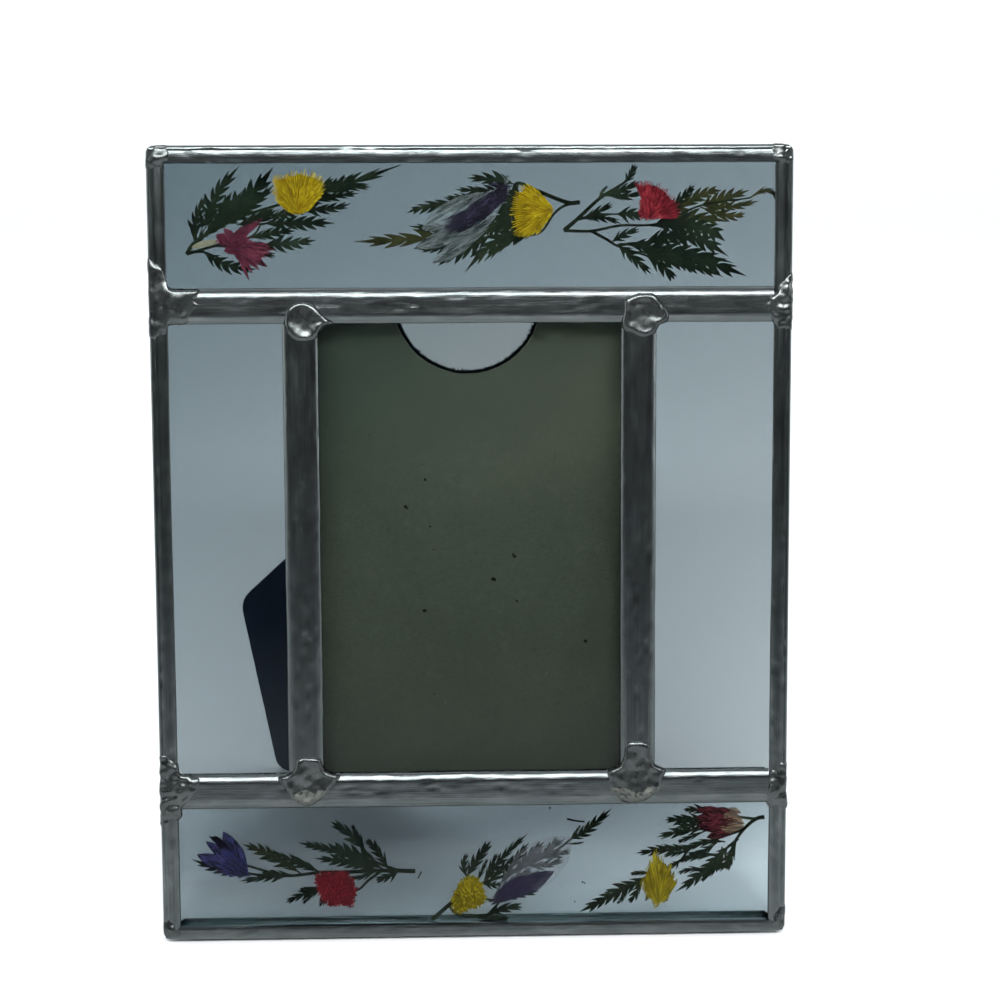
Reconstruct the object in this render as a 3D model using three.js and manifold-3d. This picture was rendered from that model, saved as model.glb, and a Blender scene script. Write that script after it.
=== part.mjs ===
// A small standing picture frame of leaded glass, with sprays of pressed flowers sealed between
// panes above and below the picture space, and a velour easel back. Millimetres, +Z up.
//
// The panel is built upright in its own axes: X to the right, Y from the front face to the back,
// Z up. Then it leans back on its easel leg. Flat plants are drawn in X and Y and turned upright.
import * as THREE from 'three';
import { mergeVertices } from 'three/addons/utils/BufferGeometryUtils.js';
import Module from 'manifold-3d';

const wasm = await Module();
wasm.setup();

// ---- Driving dimensions ----------------------------------------------------------------------
const width = 118.9; // outside of the border came
const height = 149.4;
const thickness = 6.6; // front face to back face of the came
const lean = THREE.MathUtils.degToRad(15); // of the panel, back from upright
const legOpening = THREE.MathUtils.degToRad(40); // between the leg and the panel

const borderFace = 3.3; // width of the border came's faces
const bottomFace = 2.5; // the bottom came is a narrower length
const flange = 1.0; // thickness of the faces over the glass
const heart = 1.2; // thickness of the strip between two panes
const barFace = { front: 6.6, back: 5.0 }; // faces of the bars and uprights
const crown = 0.45; // how far the faces are domed
const barHeight = { upper: 120.1, lower: 28.6 }; // centre lines above the bottom edge
const uprightPlace = { left: -31.9, right: 31.0 }; // centre lines from the middle
const seam = 0.1; // between lengths of came that meet

const glassGap = 0.25; // between a pane and the came around it
const thinGlass = 1.6; // the panes that hold the flowers
const thickGlass = 3.0; // the single panes
const flowerSpace = 0.9; // between the two thin panes
const petalThickness = 0.25;
const petalGap = 0.1; // front pane to petals
const leafGap = 0.15; // petals to leaves behind them

const board = { width: 64, bottom: 27.5, top: 121.1, thickness: 1.6, middle: -0.3 };
const notchRadius = 14;
const notchMiddle = -0.8;
const velourThickness = 0.45;
const track = { face: 3.3, wall: 0.7, channel: 3.4, top: 116, play: 0.4 };
const backGap = 0.15; // came to track

const legWidth = 51;
const legOffset = -7.5; // middle of the leg from the line through its foot
const legThickness = 2;
const tabLength = 13;
const hinge = { x: 6.2, z: 65.7, gap: 0.4 }; // a point on the fold line, in panel axes
const cornerRadius = 4;

// ---- Colours ---------------------------------------------------------------------------------
function finish(color, roughness, metalness = 0) {
  return new THREE.MeshStandardMaterial({ color, roughness, metalness });
}
const cameMetal = finish(0x565e5e, 0.45, 0.9);
const solderMetal = finish(0x7c8383, 0.35, 0.95);
const clearGlass = finish(0xa9b8bd, 0.05);
clearGlass.transparent = true;
clearGlass.opacity = 0.35;
const leafGreen = finish(0x22352a, 0.8);
const chipboard = finish(0x3a4238, 0.9);
const navyVelour = finish(0x111c2a, 1);

// ---- Solids ----------------------------------------------------------------------------------
function toSolid(geometry) {
  const bare = geometry.clone();
  bare.deleteAttribute('normal');
  bare.deleteAttribute('uv');
  const welded = mergeVertices(bare, 1e-4);
  return new wasm.Manifold(new wasm.Mesh({
    numProp: 3,
    vertProperties: Float32Array.from(welded.attributes.position.array),
    triVerts: Uint32Array.from(welded.index.array),
  }));
}

function toGeometry(solid) {
  const mesh = solid.getMesh();
  const geometry = new THREE.BufferGeometry();
  geometry.setAttribute('position', new THREE.BufferAttribute(mesh.vertProperties, 3));
  geometry.setIndex(new THREE.BufferAttribute(mesh.triVerts, 1));
  geometry.computeVertexNormals();
  return geometry;
}

function joined(solids) {
  return solids.reduce((whole, solid) => whole.add(solid));
}

function outline(points) {
  return new THREE.Shape(points.map(([x, y]) => new THREE.Vector2(x, y)));
}

function plate(shape, depth) {
  return new THREE.ExtrudeGeometry(shape, { depth, bevelEnabled: false, curveSegments: 6 });
}

const panel = new THREE.Group();

function addPiece(name, geometry, material, parent = panel) {
  const mesh = new THREE.Mesh(geometry, material);
  mesh.name = name;
  parent.add(mesh);
  return mesh;
}

// Stands a piece drawn in X and Y upright in the panel, with its front at the given depth.
function standAt(mesh, front, depth) {
  mesh.rotation.x = Math.PI / 2;
  mesh.position.y = front + depth;
}

function box(x, y, z) {
  const geometry = new THREE.BoxGeometry(x[1] - x[0], y[1] - y[0], z[1] - z[0]);
  return geometry.translate((x[0] + x[1]) / 2, (y[0] + y[1]) / 2, (z[0] + z[1]) / 2);
}

// ---- Came ------------------------------------------------------------------------------------
// The domed face of a came: points across it from one edge to the other.
function domedFace(from, to, steps, depthAt) {
  return Array.from({ length: steps + 1 }, (_, i) => {
    const across = THREE.MathUtils.lerp(from, to, i / steps);
    return [across, depthAt((2 * i) / steps - 1)];
  });
}

// H-section bar, front face wider than the back one, in X (across) and Y (depth).
function barSection() {
  const front = barFace.front / 2;
  const back = barFace.back / 2;
  const half = heart / 2;
  return [
    ...domedFace(-front, front, 6, (s) => crown * s * s),
    [front, flange], [half, flange], [half, thickness - flange], [back, thickness - flange],
    ...domedFace(back, -back, 4, (s) => thickness - crown * s * s),
    [-back, thickness - flange], [-half, thickness - flange], [-half, flange], [-front, flange],
  ];
}

// U-section border, X inward from its outer wall; side is 1 or -1 for the way it opens.
function borderSection(face, side) {
  const round = 0.5;
  const points = [
    [0, round], [round * 0.3, round * 0.3], [round, 0], [face * 0.6, 0], [face, crown],
    [face, flange], [flange, flange], [flange, thickness - flange], [face, thickness - flange],
    [face, thickness - crown], [face * 0.6, thickness], [round, thickness],
    [round * 0.3, thickness - round * 0.3], [0, thickness - round],
  ];
  return points.map(([x, y]) => [x * side, y]);
}

// Runs a section along Z, centred. A cut takes that share of the inward distance off each end,
// which makes a mitre.
function came(section, length, cut = [0, 0]) {
  const geometry = new THREE.ExtrudeGeometry(outline(section), { depth: length, bevelEnabled: false });
  const place = geometry.attributes.position;
  for (let i = 0; i < place.count; i += 1) {
    const inward = Math.abs(place.getX(i));
    const atEnd = place.getZ(i) > length / 2;
    const z = atEnd ? length / 2 - cut[1] * inward - seam / 2 : cut[0] * inward + seam / 2 - length / 2;
    place.setZ(i, z);
  }
  geometry.computeVertexNormals();
  return geometry;
}

function addCame(name, section, length, cut, x, z, lying) {
  const mesh = addPiece(name, came(section, length, cut), cameMetal);
  mesh.rotation.y = lying ? Math.PI / 2 : 0;
  mesh.position.set(x, 0, z);
}

function addBorder() {
  const sideCut = [bottomFace / borderFace, 1];
  const bottomCut = borderFace / bottomFace;
  addCame('came_left', borderSection(borderFace, 1), height, sideCut, -width / 2, height / 2, false);
  addCame('came_right', borderSection(borderFace, -1), height, sideCut, width / 2, height / 2, false);
  addCame('came_top', borderSection(borderFace, 1), width, [1, 1], 0, height, true);
  addCame('came_bottom', borderSection(bottomFace, -1), width, [bottomCut, bottomCut], 0, 0, true);
}

function addBars() {
  const barLength = width - 2 * borderFace - seam;
  const uprightLength = barHeight.upper - barHeight.lower - barFace.front - seam;
  const middle = (barHeight.upper + barHeight.lower) / 2;
  for (const [side, z] of Object.entries(barHeight)) {
    addCame(`bar_${side}`, barSection(), barLength, [0, 0], 0, z, true);
  }
  for (const [side, x] of Object.entries(uprightPlace)) {
    addCame(`upright_${side}`, barSection(), uprightLength, [0, 0], x, middle, false);
  }
}

// ---- Glass -----------------------------------------------------------------------------------
const frontPane = [flange + glassGap, flange + glassGap + thinGlass];
const backPane = [frontPane[1] + flowerSpace, frontPane[1] + flowerSpace + thinGlass];
const singlePane = [flange + glassGap, flange + glassGap + thickGlass];

function addGlass() {
  const edge = flange + 0.4; // from the outside of the frame to the edge of a pane
  const side = heart / 2 + 0.4; // from the middle of a bar to the edge of a pane
  const { upper, lower } = barHeight;
  const { left, right } = uprightPlace;
  const wide = [edge - width / 2, width / 2 - edge];
  const middle = [lower + side, upper - side];
  const panes = {
    glass_top_front: [wide, frontPane, [upper + side, height - edge]],
    glass_top_back: [wide, backPane, [upper + side, height - edge]],
    glass_bottom_front: [wide, frontPane, [edge, lower - side]],
    glass_bottom_back: [wide, backPane, [edge, lower - side]],
    glass_left: [[wide[0], left - side], singlePane, middle],
    glass_centre: [[left + side, right - side], singlePane, middle],
    glass_right: [[right + side, wide[1]], singlePane, middle],
  };
  for (const [name, [x, y, z]] of Object.entries(panes)) addPiece(name, box(x, y, z), clearGlass);
}

// ---- Pressed leaves --------------------------------------------------------------------------
// A thin stalk: a ribbon along a smooth line, tapering from its base.
function stalk(points, base = 0.34, tip = 0.16) {
  const line = new THREE.SplineCurve(points.map(([x, y]) => new THREE.Vector2(x, y)));
  const steps = points.length - 1;
  const sides = [[], []];
  for (let i = 0; i <= steps; i += 1) {
    const t = i / steps;
    const place = line.getPoint(t);
    const along = line.getTangent(t);
    const half = THREE.MathUtils.lerp(base, tip, t);
    sides[0].push([place.x - along.y * half, place.y + along.x * half]);
    sides[1].unshift([place.x + along.y * half, place.y - along.x * half]);
  }
  return toSolid(plate(outline([...sides[0], ...sides[1]]), petalThickness));
}

// A toothed leaflet from base through a middle point to its tip, at most twice half wide.
function leaflet([base, middle, tip, half]) {
  const [a, m, b] = [base, middle, tip].map(([x, y]) => new THREE.Vector2(x, y));
  const pull = m.clone().multiplyScalar(2).sub(a.clone().add(b).multiplyScalar(0.5));
  const line = new THREE.QuadraticBezierCurve(a, pull, b);
  const teeth = half < 1.1 ? 0 : Math.min(3, Math.round(line.getLength() / 4));
  const point = (t, across) => {
    const place = line.getPoint(t);
    const along = line.getTangent(t);
    return [place.x - along.y * across, place.y + along.x * across];
  };
  const side = (sign) => {
    const edge = [point(0, sign * 0.18)];
    if (teeth === 0) edge.push(point(0.6, sign * half));
    for (let i = 0; i < teeth; i += 1) {
      const swell = half * Math.sin(Math.PI * (0.22 + (0.7 * i) / teeth));
      edge.push(point((i + 0.35) / (teeth + 0.6), sign * swell * 0.55));
      edge.push(point((i + 1) / (teeth + 0.6), sign * swell));
    }
    return edge;
  };
  return toSolid(plate(outline([...side(1), point(1, 0), ...side(-1).reverse()]), petalThickness));
}

// Each spray: its stalks as lines of points, and its leaflets as base, middle, tip, half width.
const sprays = {
  top_left: {
    stalks: [
      [[-52.7, 129.7], [-50.9, 132.0], [-44.9, 135.7], [-34.9, 138.9], [-26.7, 141.3]],
      [[-50.9, 132.0], [-51.0, 134.4], [-50.8, 136.3]],
      [[-50.9, 131.7], [-49.6, 132.8], [-48.0, 135.2]],
      [[-52.7, 129.7], [-47.2, 131.3], [-40.9, 132.8], [-38.7, 135.4]],
      [[-51.9, 130.1], [-49.6, 130.1], [-46.7, 129.0]],
      [[-47.2, 131.3], [-42.6, 131.0], [-37.7, 131.1]],
    ],
    leaflets: [
      [[-51.1, 131.7], [-50.8, 136.3], [-48.6, 140.7], 1.0],
      [[-48.0, 134.9], [-47.4, 139.8], [-42.7, 145.8], 1.5],
      [[-48.4, 134.9], [-42.4, 138.9], [-36.4, 145.7], 2.0],
      [[-44.9, 135.7], [-40.3, 138.9], [-36.4, 142.4], 1.1],
      [[-34.9, 138.9], [-26.7, 141.3], [-12.5, 146.1], 1.3],
      [[-30.8, 139.2], [-27.8, 141.6], [-25.3, 143.6], 1.0],
      [[-27.8, 140.8], [-24.5, 142.4], [-20.9, 144.1], 1.0],
      [[-26.7, 141.0], [-22.6, 141.8], [-18.3, 141.9], 0.7],
      [[-30.8, 138.9], [-25.4, 140.2], [-20.6, 140.8], 0.8],
      [[-33.8, 139.0], [-27.3, 137.9], [-22.1, 139.0], 0.9],
      [[-38.7, 135.3], [-32.2, 135.4], [-25.2, 135.3], 1.2],
      [[-41.2, 132.6], [-36.8, 133.5], [-32.5, 133.9], 1.0],
      [[-38.8, 131.3], [-33.9, 131.6], [-28.7, 132.2], 1.2],
      [[-42.6, 131.1], [-39.6, 130.1], [-36.2, 129.2], 0.8],
      [[-49.6, 130.1], [-45.1, 127.6], [-39.7, 126.9], 1.1],
      [[-42.2, 135.2], [-38.7, 136.5], [-37.6, 138.4], 1.0],
    ],
  },
  top_middle: {
    stalks: [
      [[20.2, 139.0], [17.7, 139.0], [12.1, 141.2], [8.5, 142.5], [7.3, 139.4], [4.6, 135.0],
        [3.2, 133.6]],
      [[20.2, 139.0], [17.4, 138.4], [15.3, 136.8], [12.9, 133.5], [9.1, 132.7]],
    ],
    leaflets: [
      [[8.6, 142.3], [4.1, 143.2], [-0.8, 143.5], 1.2],
      [[8.0, 141.3], [1.7, 141.2], [-3.0, 141.4], 0.8],
      [[7.3, 139.7], [-0.4, 139.9], [-5.2, 140.0], 0.7],
      [[6.7, 138.8], [-5.7, 138.6], [-12.0, 137.1], 1.1],
      [[4.6, 135.0], [-4.2, 134.2], [-11.9, 134.8], 0.9],
      [[3.7, 133.9], [-9.3, 132.5], [-22.0, 131.9], 1.4],
      [[4.0, 133.9], [-4.3, 131.0], [-10.5, 130.6], 1.0],
      [[4.0, 133.3], [-2.2, 129.8], [-7.4, 127.9], 1.2],
      [[12.9, 133.5], [6.1, 132.7], [-1.3, 126.1], 1.6],
      [[10.6, 133.6], [4.9, 135.0], [2.0, 132.4], 1.5],
      [[11.5, 133.3], [7.0, 132.1], [2.2, 128.0], 1.0],
      [[7.9, 140.9], [7.3, 137.1], [4.9, 135.6], 1.3],
    ],
  },
  top_right: {
    stalks: [
      [[17.2, 133.8], [19.6, 135.8], [24.0, 139.8], [28.3, 142.5], [29.7, 144.4]],
      [[17.2, 133.8], [22.3, 133.7], [27.8, 134.7], [34.7, 135.0], [42.6, 138.3], [51.9, 139.7]],
      [[22.3, 133.7], [25.1, 132.2], [27.3, 130.9], [33.0, 129.0], [36.3, 128.1]],
      [[27.3, 131.1], [34.7, 131.7], [40.2, 131.4]],
      [[19.6, 135.8], [23.7, 136.7], [27.0, 136.8]],
    ],
    leaflets: [
      [[28.6, 142.6], [29.7, 144.1], [30.5, 146.0], 0.8],
      [[23.7, 139.7], [24.5, 141.1], [25.4, 142.0], 0.3],
      [[24.5, 140.1], [27.8, 141.1], [31.5, 142.9], 0.8],
      [[25.3, 140.3], [28.6, 140.1], [31.9, 140.9], 0.7],
      [[20.7, 135.9], [23.4, 137.1], [26.4, 138.7], 0.8],
      [[20.4, 135.8], [23.7, 136.3], [28.1, 134.9], 0.8],
      [[27.0, 136.8], [29.7, 136.8], [31.9, 136.3], 1.2],
      [[34.7, 135.2], [39.0, 139.5], [41.7, 142.2], 0.8],
      [[34.7, 135.2], [41.7, 139.7], [46.7, 141.1], 1.2],
      [[42.6, 138.3], [47.0, 139.5], [51.9, 141.2], 1.3],
      [[51.9, 139.7], [55.2, 141.1], [57.0, 139.3], 0.6],
      [[43.9, 138.4], [48.3, 138.1], [53.8, 139.2], 0.8],
      [[42.6, 138.1], [47.8, 136.5], [51.2, 137.0], 0.9],
      [[34.7, 135.0], [40.1, 136.2], [48.4, 135.3], 1.4],
      [[33.3, 134.6], [41.5, 134.6], [47.4, 131.7], 2.1],
      [[31.9, 131.4], [40.1, 132.5], [48.0, 128.9], 1.6],
      [[29.2, 131.1], [37.4, 130.0], [49.1, 127.7], 1.5],
      [[30.8, 129.8], [41.5, 128.6], [51.5, 125.2], 1.7],
      [[33.0, 129.0], [40.2, 127.6], [47.1, 125.1], 1.1],
      [[32.5, 129.1], [35.8, 127.0], [38.0, 124.6], 1.2],
      [[27.3, 130.9], [30.3, 128.7], [33.6, 125.6], 1.0],
    ],
  },
  bottom_left: {
    stalks: [
      [[-11.5, 11.9], [-17.5, 12.1], [-24.9, 11.9], [-29.8, 11.9], [-36.3, 11.3], [-41.0, 12.6],
        [-45.9, 14.2]],
      [[-14.6, 12.0], [-19.0, 13.8], [-21.0, 16.0], [-22.2, 18.1]],
      [[-18.1, 12.0], [-20.5, 10.2], [-23.4, 8.1], [-30.5, 8.9]],
      [[-38.1, 11.5], [-42.4, 11.7], [-46.8, 13.0]],
    ],
    leaflets: [
      [[-21.0, 16.0], [-23.9, 19.3], [-27.7, 21.9], 1.1],
      [[-21.9, 17.2], [-22.7, 19.3], [-23.6, 21.3], 0.5],
      [[-16.6, 12.3], [-19.0, 16.2], [-21.1, 18.2], 0.9],
      [[-20.4, 15.0], [-27.7, 16.4], [-33.9, 17.8], 0.9],
      [[-17.5, 12.3], [-23.4, 15.1], [-28.0, 17.0], 1.6],
      [[-19.0, 12.3], [-24.8, 13.9], [-31.0, 14.7], 1.1],
      [[-29.8, 11.9], [-35.1, 14.3], [-39.6, 16.2], 0.8],
      [[-33.4, 11.6], [-39.2, 15.3], [-44.7, 17.6], 1.3],
      [[-29.8, 11.9], [-32.8, 13.7], [-35.4, 15.4], 0.5],
      [[-35.1, 11.5], [-39.8, 11.1], [-45.4, 10.3], 0.9],
      [[-42.4, 11.7], [-48.3, 12.7], [-54.2, 14.8], 1.1],
      [[-43.9, 13.6], [-47.9, 17.8], [-50.5, 19.1], 0.4],
      [[-29.3, 8.7], [-33.4, 7.4], [-36.5, 5.9], 0.8],
      [[-28.1, 8.5], [-29.3, 6.1], [-30.1, 5.4], 0.6],
      [[-14.6, 12.0], [-17.0, 10.8], [-19.2, 10.2], 0.9],
      [[-19.0, 12.0], [-21.9, 10.8], [-24.0, 10.7], 0.6],
    ],
  },
  bottom_middle: {
    stalks: [
      [[-8.3, 2.3], [-5.1, 5.1], [-2.3, 7.6], [1.4, 9.3], [7.5, 11.5], [14.9, 15.2], [18.6, 17.9]],
      [[-5.1, 5.1], [-3.3, 3.3], [2.1, 3.1], [6.0, 4.2]],
      [[-2.3, 7.6], [3.1, 6.0], [7.5, 7.0]],
      [[-2.3, 7.6], [-1.6, 11.1]],
    ],
    leaflets: [
      [[-1.6, 10.6], [-2.2, 13.2], [-1.4, 15.3], 0.7],
      [[-1.6, 10.6], [0.6, 14.1], [3.1, 17.7], 1.1],
      [[1.6, 9.3], [3.1, 12.6], [4.3, 15.2], 0.7],
      [[2.1, 9.6], [5.6, 14.6], [10.2, 19.0], 0.8],
      [[2.6, 9.6], [5.1, 12.0], [7.9, 14.8], 0.7],
      [[18.3, 17.7], [22.0, 19.9], [26.4, 23.8], 1.0],
      [[18.1, 17.4], [19.6, 19.4], [20.3, 20.5], 0.3],
      [[7.5, 11.5], [10.5, 14.5], [13.4, 17.3], 1.0],
      [[12.4, 14.0], [14.4, 15.9], [15.9, 18.4], 0.7],
      [[12.4, 14.0], [15.6, 14.7], [18.4, 15.4], 0.7],
      [[10.0, 12.7], [13.7, 12.7], [17.1, 13.8], 0.8],
      [[7.5, 11.5], [11.2, 10.4], [14.3, 11.3], 1.0],
      [[3.1, 6.0], [7.5, 7.0], [12.4, 7.6], 0.9],
      [[2.1, 3.1], [5.5, 4.2], [9.2, 4.4], 1.0],
      [[-1.1, 3.2], [2.6, 2.4], [7.2, 2.4], 0.5],
      [[1.4, 9.3], [3.6, 9.0], [5.0, 9.3], 0.7],
    ],
  },
  bottom_right: {
    stalks: [
      [[55.8, 21.7], [54.1, 21.3], [51.8, 19.3], [49.8, 16.2], [48.3, 11.6]],
      [[51.8, 19.3], [46.0, 17.3], [41.7, 15.8], [39.0, 12.8], [33.4, 10.3], [28.9, 8.0]],
      [[54.1, 21.3], [48.5, 21.9], [43.4, 21.2]],
      [[50.8, 17.5], [47.3, 14.5], [43.5, 10.6]],
      [[48.5, 18.3], [43.5, 19.4]],
    ],
    leaflets: [
      [[48.5, 21.9], [42.4, 23.3], [40.5, 22.8], 0.8],
      [[44.7, 21.5], [39.9, 21.4], [36.5, 21.3], 1.0],
      [[44.0, 19.4], [39.7, 19.0], [35.0, 17.9], 0.9],
      [[44.7, 19.1], [40.9, 17.6], [39.1, 16.9], 0.5],
      [[44.7, 16.8], [39.9, 15.9], [35.6, 16.6], 0.4],
      [[41.7, 15.8], [35.9, 15.4], [30.9, 14.8], 0.9],
      [[41.0, 15.1], [38.4, 14.6], [36.3, 14.0], 0.5],
      [[47.3, 14.5], [41.5, 13.8], [39.6, 12.8], 0.7],
      [[44.5, 11.6], [41.0, 11.4], [39.2, 10.6], 0.5],
      [[49.0, 16.2], [44.8, 11.6], [38.5, 6.9], 2.1],
      [[49.8, 16.2], [49.3, 13.1], [48.5, 11.2], 0.7],
      [[39.7, 13.5], [38.2, 12.3], [37.2, 12.5], 0.7],
      [[33.4, 10.3], [26.6, 6.7], [20.0, 3.3], 1.3],
      [[34.4, 10.8], [31.4, 10.9], [30.0, 10.6], 0.5],
      [[32.4, 9.7], [30.9, 6.7], [29.6, 5.1], 0.7],
    ],
  },
};

const petalFront = frontPane[1] + petalGap;
const leafFront = petalFront + petalThickness + leafGap;

function addSprays() {
  for (const [place, { stalks, leaflets }] of Object.entries(sprays)) {
    const whole = joined([...stalks.map((points) => stalk(points)), ...leaflets.map(leaflet)]);
    standAt(addPiece(`sprig_${place}`, toGeometry(whole), leafGreen), leafFront, petalThickness);
  }
  const crumb = stalk([[17.6, 21.7], [19.6, 21.2], [21.2, 20.9]], 0.2);
  const crumbMesh = addPiece('leaf_crumb', toGeometry(crumb), leafGreen);
  standAt(crumbMesh, leafFront, petalThickness);
}

// ---- Pressed flowers -------------------------------------------------------------------------
// A round flower pressed flat: a ragged edge around its middle, narrowed towards one end.
function roundBloom({ middle, reach, narrow, towards, rays }) {
  const axis = THREE.MathUtils.degToRad(towards);
  const points = Array.from({ length: rays * 2 }, (_, i) => {
    const turn = (Math.PI * i) / rays;
    const ragged = i % 2 ? 0.87 : 1;
    const pinch = 1 - narrow * Math.max(0, Math.cos(turn - axis)) ** 2;
    const spread = 1 - Math.abs(Math.sin(turn - axis)) * narrow * 0.2;
    return [
      middle[0] + reach[0] * ragged * spread * pinch * Math.cos(turn),
      middle[1] + reach[1] * ragged * spread * pinch * Math.sin(turn),
    ];
  });
  return toSolid(plate(outline(points), petalThickness));
}

// One petal, a rounded blade from base to tip.
function petal([base, tip, half]) {
  const line = new THREE.LineCurve(new THREE.Vector2(...base), new THREE.Vector2(...tip));
  const along = line.getTangent(0);
  const steps = 3;
  const side = (sign) => Array.from({ length: steps }, (_, i) => {
    const t = (i + 0.4) / steps;
    const place = line.getPoint(t);
    const across = sign * half * Math.sin(Math.PI * t ** 1.3);
    return [place.x - along.y * across, place.y + along.x * across];
  });
  return toSolid(plate(outline([base, ...side(1), tip, ...side(-1).reverse()]), petalThickness));
}

const blooms = {
  flower_yellow_top_left: {
    color: 0xbfa42c,
    round: { middle: [-31.6, 140.9], reach: [4.9, 4.2], narrow: 0.1, towards: 260, rays: 12 },
  },
  flower_crimson_top_left: {
    color: 0x7c2440,
    petals: [
      [[-45.6, 130.9], [-38.8, 136.2], 1.3], [[-45.0, 131.4], [-36.0, 130.4], 1.8],
      [[-44.8, 131.6], [-38.0, 127.2], 1.4], [[-43.6, 131.6], [-41.2, 124.7], 0.8],
      [[-44.4, 131.6], [-39.6, 126.8], 1.0], [[-41.0, 131.2], [-47.2, 133.6], 2.4],
    ],
  },
  flower_purple_top: {
    color: 0x2f2748,
    petals: [
      [[8.0, 142.6], [-2.6, 133.8], 3.1], [[5.6, 138.0], [-9.4, 133.8], 2.6],
      [[5.6, 135.6], [-1.6, 130.4], 1.5], [[7.2, 141.2], [6.8, 144.0], 0.6],
    ],
  },
  flower_yellow_top: {
    color: 0xbfa42c,
    round: { middle: [11.4, 137.7], reach: [4.1, 4.8], narrow: 0.12, towards: 0, rays: 12 },
  },
  flower_red_top_right: {
    color: 0xa2303a,
    petals: [
      [[32.4, 135.4], [32.2, 143.2], 2.6], [[32.8, 135.4], [36.4, 142.4], 2.4],
      [[33.0, 135.4], [39.0, 138.8], 2.2], [[32.4, 136.0], [30.8, 142.6], 1.2],
    ],
  },
  flower_violet_bottom_left: {
    color: 0x363a72,
    petals: [
      [[-42.9, 11.3], [-48.2, 20.4], 2.0], [[-43.4, 12.0], [-51.4, 18.4], 1.8],
      [[-43.4, 11.6], [-53.4, 15.6], 2.0], [[-43.2, 11.4], [-50.2, 13.2], 1.5],
    ],
  },
  flower_red_bottom_left: {
    color: 0xa2303a,
    round: { middle: [-26.6, 8.5], reach: [4.2, 3.7], narrow: 0, towards: 0, rays: 12 },
  },
  flower_yellow_bottom: {
    color: 0xb39c2e,
    round: { middle: [-1.3, 7.1], reach: [3.7, 4.1], narrow: 0.1, towards: 225, rays: 12 },
  },
  flower_purple_bottom: {
    color: 0x4a4560,
    petals: [[[3.4, 5.4], [18.2, 20.2], 4.4], [[2.6, 5.2], [14.2, 12.0], 1.8]],
  },
  flower_maroon_bottom_right: {
    color: 0x5c2430,
    petals: [
      [[52.6, 20.4], [41.0, 23.0], 1.8], [[52.4, 20.0], [42.0, 20.6], 2.0],
      [[52.4, 19.8], [43.2, 18.0], 1.4], [[52.0, 20.2], [46.6, 23.6], 1.4],
    ],
  },
  flower_yellow_bottom_right: {
    color: 0xb39c2e,
    petals: [
      [[35.2, 4.2], [35.0, 15.4], 2.4], [[34.8, 4.6], [33.6, 12.4], 1.8],
      [[35.4, 4.6], [37.2, 12.0], 2.0], [[36.0, 4.4], [38.4, 9.6], 1.2],
      [[34.6, 4.4], [32.4, 9.6], 1.2],
    ],
  },
};

function addBlooms() {
  for (const [name, { color, round, petals }] of Object.entries(blooms)) {
    const solid = round ? roundBloom(round) : joined(petals.map(petal));
    const mesh = addPiece(name, toGeometry(solid), finish(color, 0.85));
    standAt(mesh, petalFront, petalThickness);
  }
}

// ---- Backing board in its tracks -------------------------------------------------------------
const trackFront = thickness + backGap;
const trackDepth = 2 * track.wall + track.channel;
const boardFront = trackFront + track.wall + 0.3;
const velourFront = boardFront + board.thickness + 0.1;
const velourBack = velourFront + velourThickness;
const boardSides = [board.middle - board.width / 2, board.middle + board.width / 2];
const trackOuter = {
  left: boardSides[0] - track.play - track.wall,
  right: boardSides[1] + track.play + track.wall,
  bottom: board.bottom - track.play - track.wall,
};

function trackSection(side) {
  const { face, wall } = track;
  const back = trackDepth - wall;
  const points = [
    [0, 0], [face, 0], [face, wall], [wall, wall], [wall, back], [face, back], [face, trackDepth],
    [0, trackDepth],
  ];
  return points.map(([x, y]) => [x * side, y]);
}

function addTracks() {
  const across = trackOuter.right - trackOuter.left;
  const foot = trackOuter.bottom + track.face + backGap;
  const tall = track.top - foot;
  const lying = addPiece('track_bottom', came(trackSection(-1), across), cameMetal);
  lying.rotation.y = Math.PI / 2;
  lying.position.set((trackOuter.left + trackOuter.right) / 2, trackFront, trackOuter.bottom);
  const left = addPiece('track_left', came(trackSection(1), tall), cameMetal);
  left.position.set(trackOuter.left, trackFront, foot + tall / 2);
  const right = addPiece('track_right', came(trackSection(-1), tall), cameMetal);
  right.position.set(trackOuter.right, trackFront, foot + tall / 2);
}

// The board with the thumb notch in its top edge.
function boardShape(margin) {
  const shape = new THREE.Shape();
  const [left, right] = [boardSides[0] + margin, boardSides[1] - margin];
  shape.moveTo(left, board.bottom + margin);
  shape.lineTo(right, board.bottom + margin);
  shape.lineTo(right, board.top);
  shape.lineTo(notchMiddle + notchRadius, board.top);
  shape.absarc(notchMiddle, board.top, notchRadius, 0, -Math.PI, true);
  shape.lineTo(left, board.top);
  shape.closePath();
  return shape;
}

function addBoard() {
  const cut = new THREE.ExtrudeGeometry(boardShape(0), {
    depth: board.thickness, bevelEnabled: false, curveSegments: 14,
  });
  standAt(addPiece('backing_board', cut, chipboard), boardFront, board.thickness);
  const skin = new THREE.ExtrudeGeometry(boardShape(0.3), {
    depth: velourThickness, bevelEnabled: false, curveSegments: 14,
  });
  standAt(addPiece('backing_velour', skin, navyVelour), velourFront, velourThickness);
}

// ---- Easel leg -------------------------------------------------------------------------------
// The leg folds on a line at 45 degrees, so that its foot serves the frame tall or wide. Its own
// axes: X along the fold, Y from the fold to the foot, Z out of its back face.
const tabFront = velourBack + 0.2;
const hingeDepth = tabFront + legThickness;

// Height of the lowest edge of the came, which is what the frame stands on.
const groundHeight = Math.min(...borderSection(bottomFace, 1).map(
  ([inward, depth]) => inward * Math.cos(lean) - depth * Math.sin(lean),
));

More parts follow.
